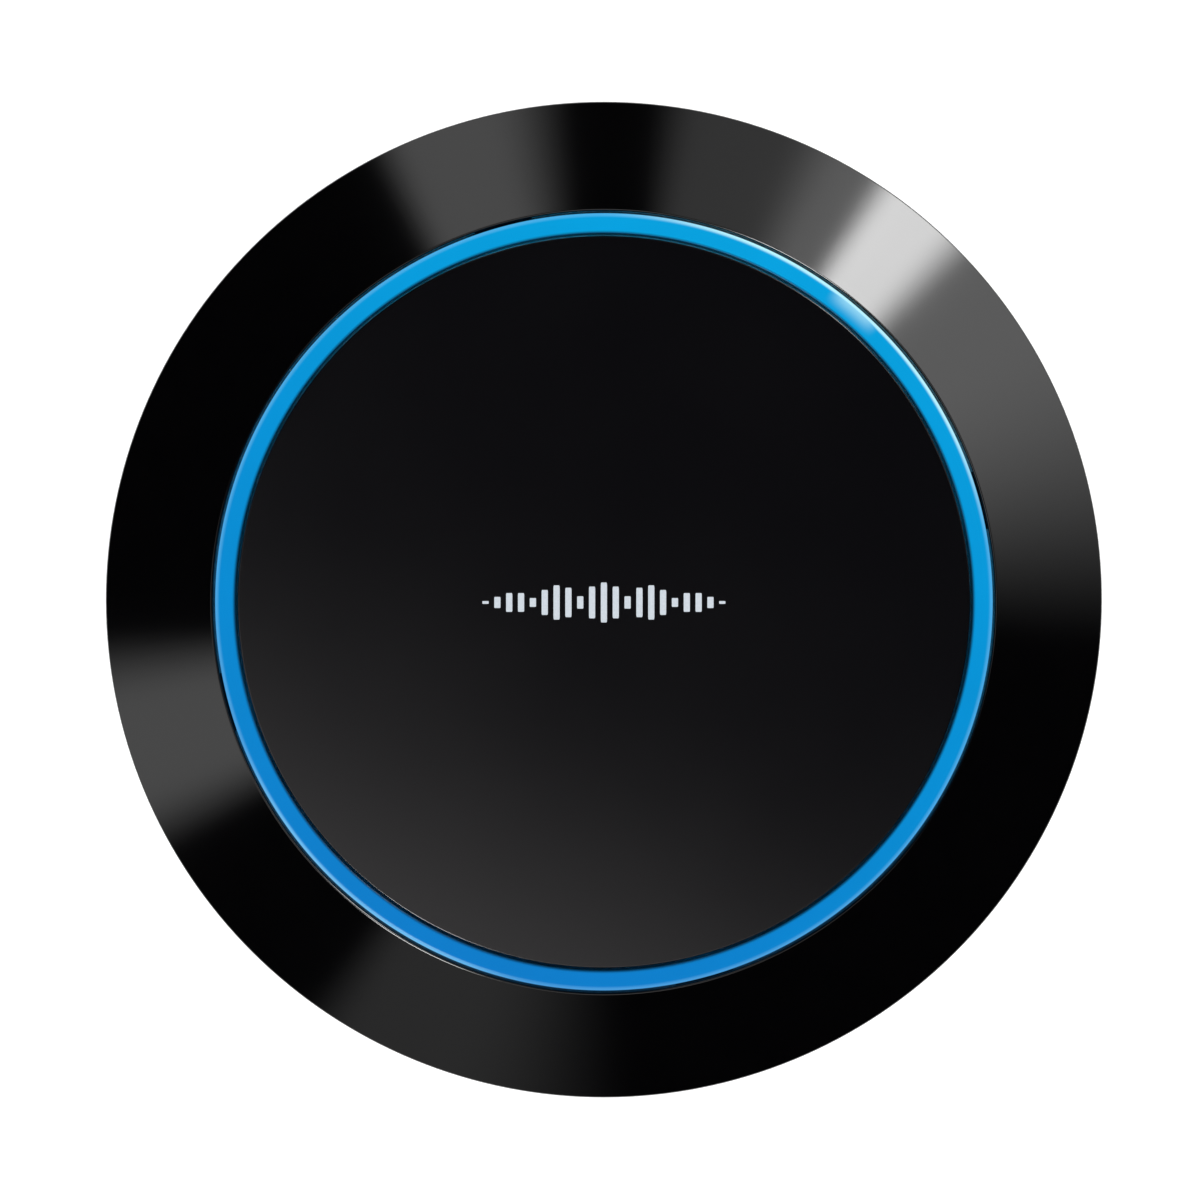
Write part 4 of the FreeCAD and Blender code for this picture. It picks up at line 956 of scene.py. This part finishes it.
def make_feet():
    """Four rubber feet with rounded rims and concentric grips on their undersides."""
    finish = finishes["rubber"]
    radius = FOOT_DIA / 2
    corners = [(0, GRIP_DEPTH, 0)]
    pitch = (radius - FOOT_ROUND * 2) / FOOT_GRIPS
    for n in range(FOOT_GRIPS):
        start = pitch * (n + 0.35)
        corners += [(start, GRIP_DEPTH, CRISP), (start + GRIP_SLOPE, 0, CRISP)]
        if n < FOOT_GRIPS - 1:
            end = pitch * (n + 1)
            corners += [(end, 0, CRISP), (end + GRIP_SLOPE, GRIP_DEPTH, CRISP)]
    corners += [(radius, 0, FOOT_ROUND), (radius, feet_high.z, 2 * CRISP), (0, feet_high.z, 0)]
    foot = turned("feet", corners, finish, steps=64, hold=HOLD / 2)
    feet = grow(foot, ROUND_CIRCLE, finish, First_angle=math.pi / 4, Radius=foot_circle)
    finished(tidy_mesh(feet), ["rubber_feet"])


def make_label():
    """Blank rating label with rounded corners."""
    size = label_high - label_low
    outline = rectangle(size.x, size.y, LABEL_CORNER)
    label = slab("label", outline, label_low.z, label_high.z, finishes["label_grey"], LABEL_EDGE)
    finished(even_normals(label), ["rating_label"])


# ---------------------------------------------------------------- button and sockets


def facing_back(x, z):
    """Turns what rises along +Z to run along +Y, about an axis at this x and z."""
    return Matrix.Translation((x, 0, z)) @ Matrix.Rotation(-math.pi / 2, 4, "X")


def make_button():
    """Pairing button: a round cap with a shallow dish, and the flange that keeps it in."""
    finish = finishes["matt_black"]
    flange_r = (button_high.x - button_low.x) / 2
    radius = BUTTON_DIA / 2
    back, front = button_low.y, button_high.y
    dish_r = radius - DISH_RIM
    cap = turned(
        "button",
        [
            (0, back, 0),
            (flange_r, back, CRISP),
            (flange_r, back + BUTTON_FLANGE, CRISP),
            (radius, back + BUTTON_FLANGE, CRISP),
            (radius, front, BUTTON_ROUND),
            (dish_r, front, DISH_ROUND),
            (dish_r * 0.5, front - BUTTON_DISH * 0.8, DISH_HOLLOW),
            (0, front - BUTTON_DISH, 0),
        ],
        finish,
        steps=128,
    )
    moved(cap, facing_back(0, (button_low.z + button_high.z) / 2))
    finished(cap, ["button_cap"], "pairing_button")


def make_bush():
    """Nickel-plated bush of the audio socket, with a lead-in round its mouth."""
    outer = (bush_high.x - bush_low.x) / 2
    inner = outer - BUSH_WALL
    back, front = bush_low.y, bush_high.y
    bush = turned(
        "bush",
        [
            (inner, back, CRISP),
            (outer, back, CRISP),
            (outer, front, CRISP),
            (outer - BUSH_MOUTH, front, CRISP),
            (inner, front - BUSH_LEAD_IN, 2 * CRISP),
        ],
        finishes["nickel"],
        steps=96,
    )
    moved(bush, facing_back((bush_low.x + bush_high.x) / 2, (bush_low.z + bush_high.z) / 2))
    finished(bush, ["jack_bush"])


def make_socket_shell():
    """Folded steel shell of the power socket: square-cornered above, bevelled below."""
    finish = finishes["nickel"]
    middle = (socket_low + socket_high) / 2
    size = socket_high - socket_low

    def outline(more):
        x, z, bevel = size.x / 2 + more, size.z / 2 + more, SOCKET_BEVEL
        corner = max(SOCKET_FOLD + more, 2 * CRISP)
        return rounded_outline(
            [
                (-x + bevel, -z, SOCKET_BEVEL_FOLD),
                (x - bevel, -z, SOCKET_BEVEL_FOLD),
                (x, -z + bevel, SOCKET_BEVEL_FOLD),
                (x, z, corner),
                (-x, z, corner),
                (-x, -z + bevel, SOCKET_BEVEL_FOLD),
            ]
        )

    back, front, edge = socket_low.y, socket_high.y, SOCKET_EDGE
    steps = [(-edge, back), (0, back + edge), (0, front - edge), (-edge, front)]
    steps += [(edge - SOCKET_SHEET, front), (-SOCKET_SHEET, front - edge)]
    steps += [(-SOCKET_SHEET, back + SOCKET_SHEET)]
    loops = [
        [outwards(middle.x + p.x, middle.z + p.y, out) for p in outline(more)] for more, out in steps
    ]
    finished(even_normals(lofted("socket_shell", loops, finish)), ["power_shell"])


make_rim()
make_ring()
make_plate()
make_mark()
make_case()
make_feet()
make_label()
make_button()
make_bush()
make_socket_shell()

for part in frame["record"]["subparts"]:
    materials = frame["nodes"][part["node"]].data.materials
    materials.clear()
    materials.append(finishes[part["material_slot"]])

# ---------------------------------------------------------------- studio

FLOOR_SIZE = 12.0
CARD_REACH = 1.0
CARD_STEP = 0.01  # each card stands this much further out than the one before
CARD_COLUMNS, CARD_ROWS = 24, 6
FLOOR_GLOW = 0.45
SURROUNDINGS_STRENGTH = 1.25
OVERHEAD_HEIGHT = 0.6
OVERHEAD_TOWARDS = Vector((-0.44, -0.90, 0)).normalized()
OVERHEAD_NEAR, OVERHEAD_FAR, OVERHEAD_HALF = 0.02, 0.42, 0.3
OVERHEAD_DARK, OVERHEAD_FULL, OVERHEAD_RADIANCE = 0.0455, 0.082, 1.33
CAMERA_PLACE = Vector((-0.265, 12.38, 465)) * MM
CAMERA_TILT = -1.57  # degrees off straight down
CAMERA_LENS = 197.9
# Softboxes round the object: the two azimuths, clockwise from +Y, between which each is full, how far
# its two ends fade, its lowest and highest elevation (all in degrees), and its radiance.
SOFTBOXES = [
    ("fill_far", 12, 28, 6.5, 5, 10, 55, 0.70),
    ("key_core", 37, 42.5, 4, 6, 10, 70, 14.6),
    ("key_lead", 31.5, 35, 9.5, 5, 10, 76, 1.75),
    ("key_wing", 47, 58, 6, 40, 10, 55, 2.25),
    ("low_front", 198, 209, 22, 7, 10, 50, 0.46),
    ("left_edge", 246, 256, 8, 9, 10, 55, 1.40),
    ("far_left", 336.5, 346, 5.5, 10.7, 10, 55, 1.45),
    ("glint", 203, 213, 6, 4, 44, 68, 26.0),
]


def softbox(reach, name, start, stop, fade_in, fade_out, low, high, radiance):
    """A curved card this far out, which only shows in reflections and fades out at both ends."""
    first, last = start - fade_in, stop + fade_out
    vertices, faces = [], []
    for column in range(CARD_COLUMNS + 1):
        azimuth = math.radians(first + (last - first) * column / CARD_COLUMNS)
        for row in range(CARD_ROWS + 1):
            elevation = math.radians(low + (high - low) * row / CARD_ROWS)
            out, up = reach * math.cos(elevation), reach * math.sin(elevation)
            vertices.append((out * math.sin(azimuth), out * math.cos(azimuth), up))
    for column in range(CARD_COLUMNS):
        for row in range(CARD_ROWS):
            here = column * (CARD_ROWS + 1) + row
            after = here + CARD_ROWS + 1
            faces.append((here, after, after + 1, here + 1))
    mesh = bpy.data.meshes.new(name)
    mesh.from_pydata(vertices, [], faces)
    card = new_object(name, mesh)
    m = Shader(f"light_{name}")
    centred = m.add("ShaderNodeVectorRotate", {"Vector": m.place}, rotation_type="Z_AXIS")
    centred.inputs["Angle"].default_value = math.radians((first + last) / 2)
    parts = m.add("ShaderNodeSeparateXYZ", {"Vector": centred.outputs["Vector"]}).outputs
    azimuth = m.maths("ARCTAN2", parts["X"], parts["Y"])
    half = math.radians((last - first) / 2)
    rising = m.fade(azimuth, -half, -half + math.radians(fade_in))
    falling = m.fade(azimuth, half, half - math.radians(fade_out))
    level = m.maths("MULTIPLY", rising, falling)
    m.emit((1, 1, 1), m.maths("MULTIPLY", level, radiance))
    mesh.materials.append(m.material)
    only_in_reflections(card)


def only_in_reflections(card):
    """Keeps a card out of sight, and out of the diffuse light and the shadows."""
    card.visible_camera = card.visible_diffuse = card.visible_shadow = False
    card.visible_transmission = card.visible_volume_scatter = False


def overhead_card():
    """A broad sheet over the front left, which fades in across the plate's reflection."""
    aside = OVERHEAD_TOWARDS.cross(Vector((0, 0, 1))) * OVERHEAD_HALF
    height = Vector((0, 0, OVERHEAD_HEIGHT))
    vertices = []
    for out, side in ((OVERHEAD_NEAR, -1), (OVERHEAD_NEAR, 1), (OVERHEAD_FAR, 1), (OVERHEAD_FAR, -1)):
        vertices.append(tuple(OVERHEAD_TOWARDS * out + aside * side + height))
    mesh = bpy.data.meshes.new("overhead")
    mesh.from_pydata(vertices, [], [(0, 1, 2, 3)])
    card = new_object("overhead", mesh)
    m = Shader("light_overhead")
    out = m.along(OVERHEAD_TOWARDS)
    m.emit((1, 0.97, 0.97), m.spread(out, 0.0, OVERHEAD_RADIANCE, OVERHEAD_DARK, OVERHEAD_FULL))
    mesh.materials.append(m.material)
    only_in_reflections(card)


def studio_floor():
    """White sweep under the object."""
    half = FLOOR_SIZE / 2
    mesh = bpy.data.meshes.new("floor")
    corners = [(-half, -half, 0), (half, -half, 0), (half, half, 0), (-half, half, 0)]
    mesh.from_pydata(corners, [], [(0, 1, 2, 3)])
    m = Shader("floor_white")
    m.set(Base_Color=(0.86, 0.86, 0.86, 1), Roughness=0.9, Specular_IOR_Level=0.0)
    m.set(Emission_Color=(1, 1, 1, 1), Emission_Strength=FLOOR_GLOW)
    mesh.materials.append(m.material)
    new_object("floor", mesh)


def studio_world():
    """Even pale surroundings, which the gloss doesn't mirror."""
    world = bpy.data.worlds.new("surroundings")
    bpy.context.scene.world = world
    world.use_nodes = True
    background = world.node_tree.nodes["Background"]
    background.inputs["Color"].default_value = (1, 1, 1, 1)
    background.inputs["Strength"].default_value = SURROUNDINGS_STRENGTH
    world.cycles_visibility.glossy = False


def studio_camera():
    """Long lens straight above, a touch off square."""
    data = bpy.data.cameras.new("camera")
    data.sensor_width = 36
    data.lens = CAMERA_LENS
    data.clip_start, data.clip_end = 0.01, 20
    camera = bpy.data.objects.new("camera", data)
    camera.location = CAMERA_PLACE
    camera.rotation_euler = (math.radians(CAMERA_TILT), 0, 0)
    bpy.context.scene.collection.objects.link(camera)
    bpy.context.scene.camera = camera


for number, box in enumerate(SOFTBOXES):
    softbox(CARD_REACH + CARD_STEP * number, *box)
overhead_card()
studio_floor()
studio_world()
studio_camera()
bpy.context.scene.view_settings.view_transform = "Standard"
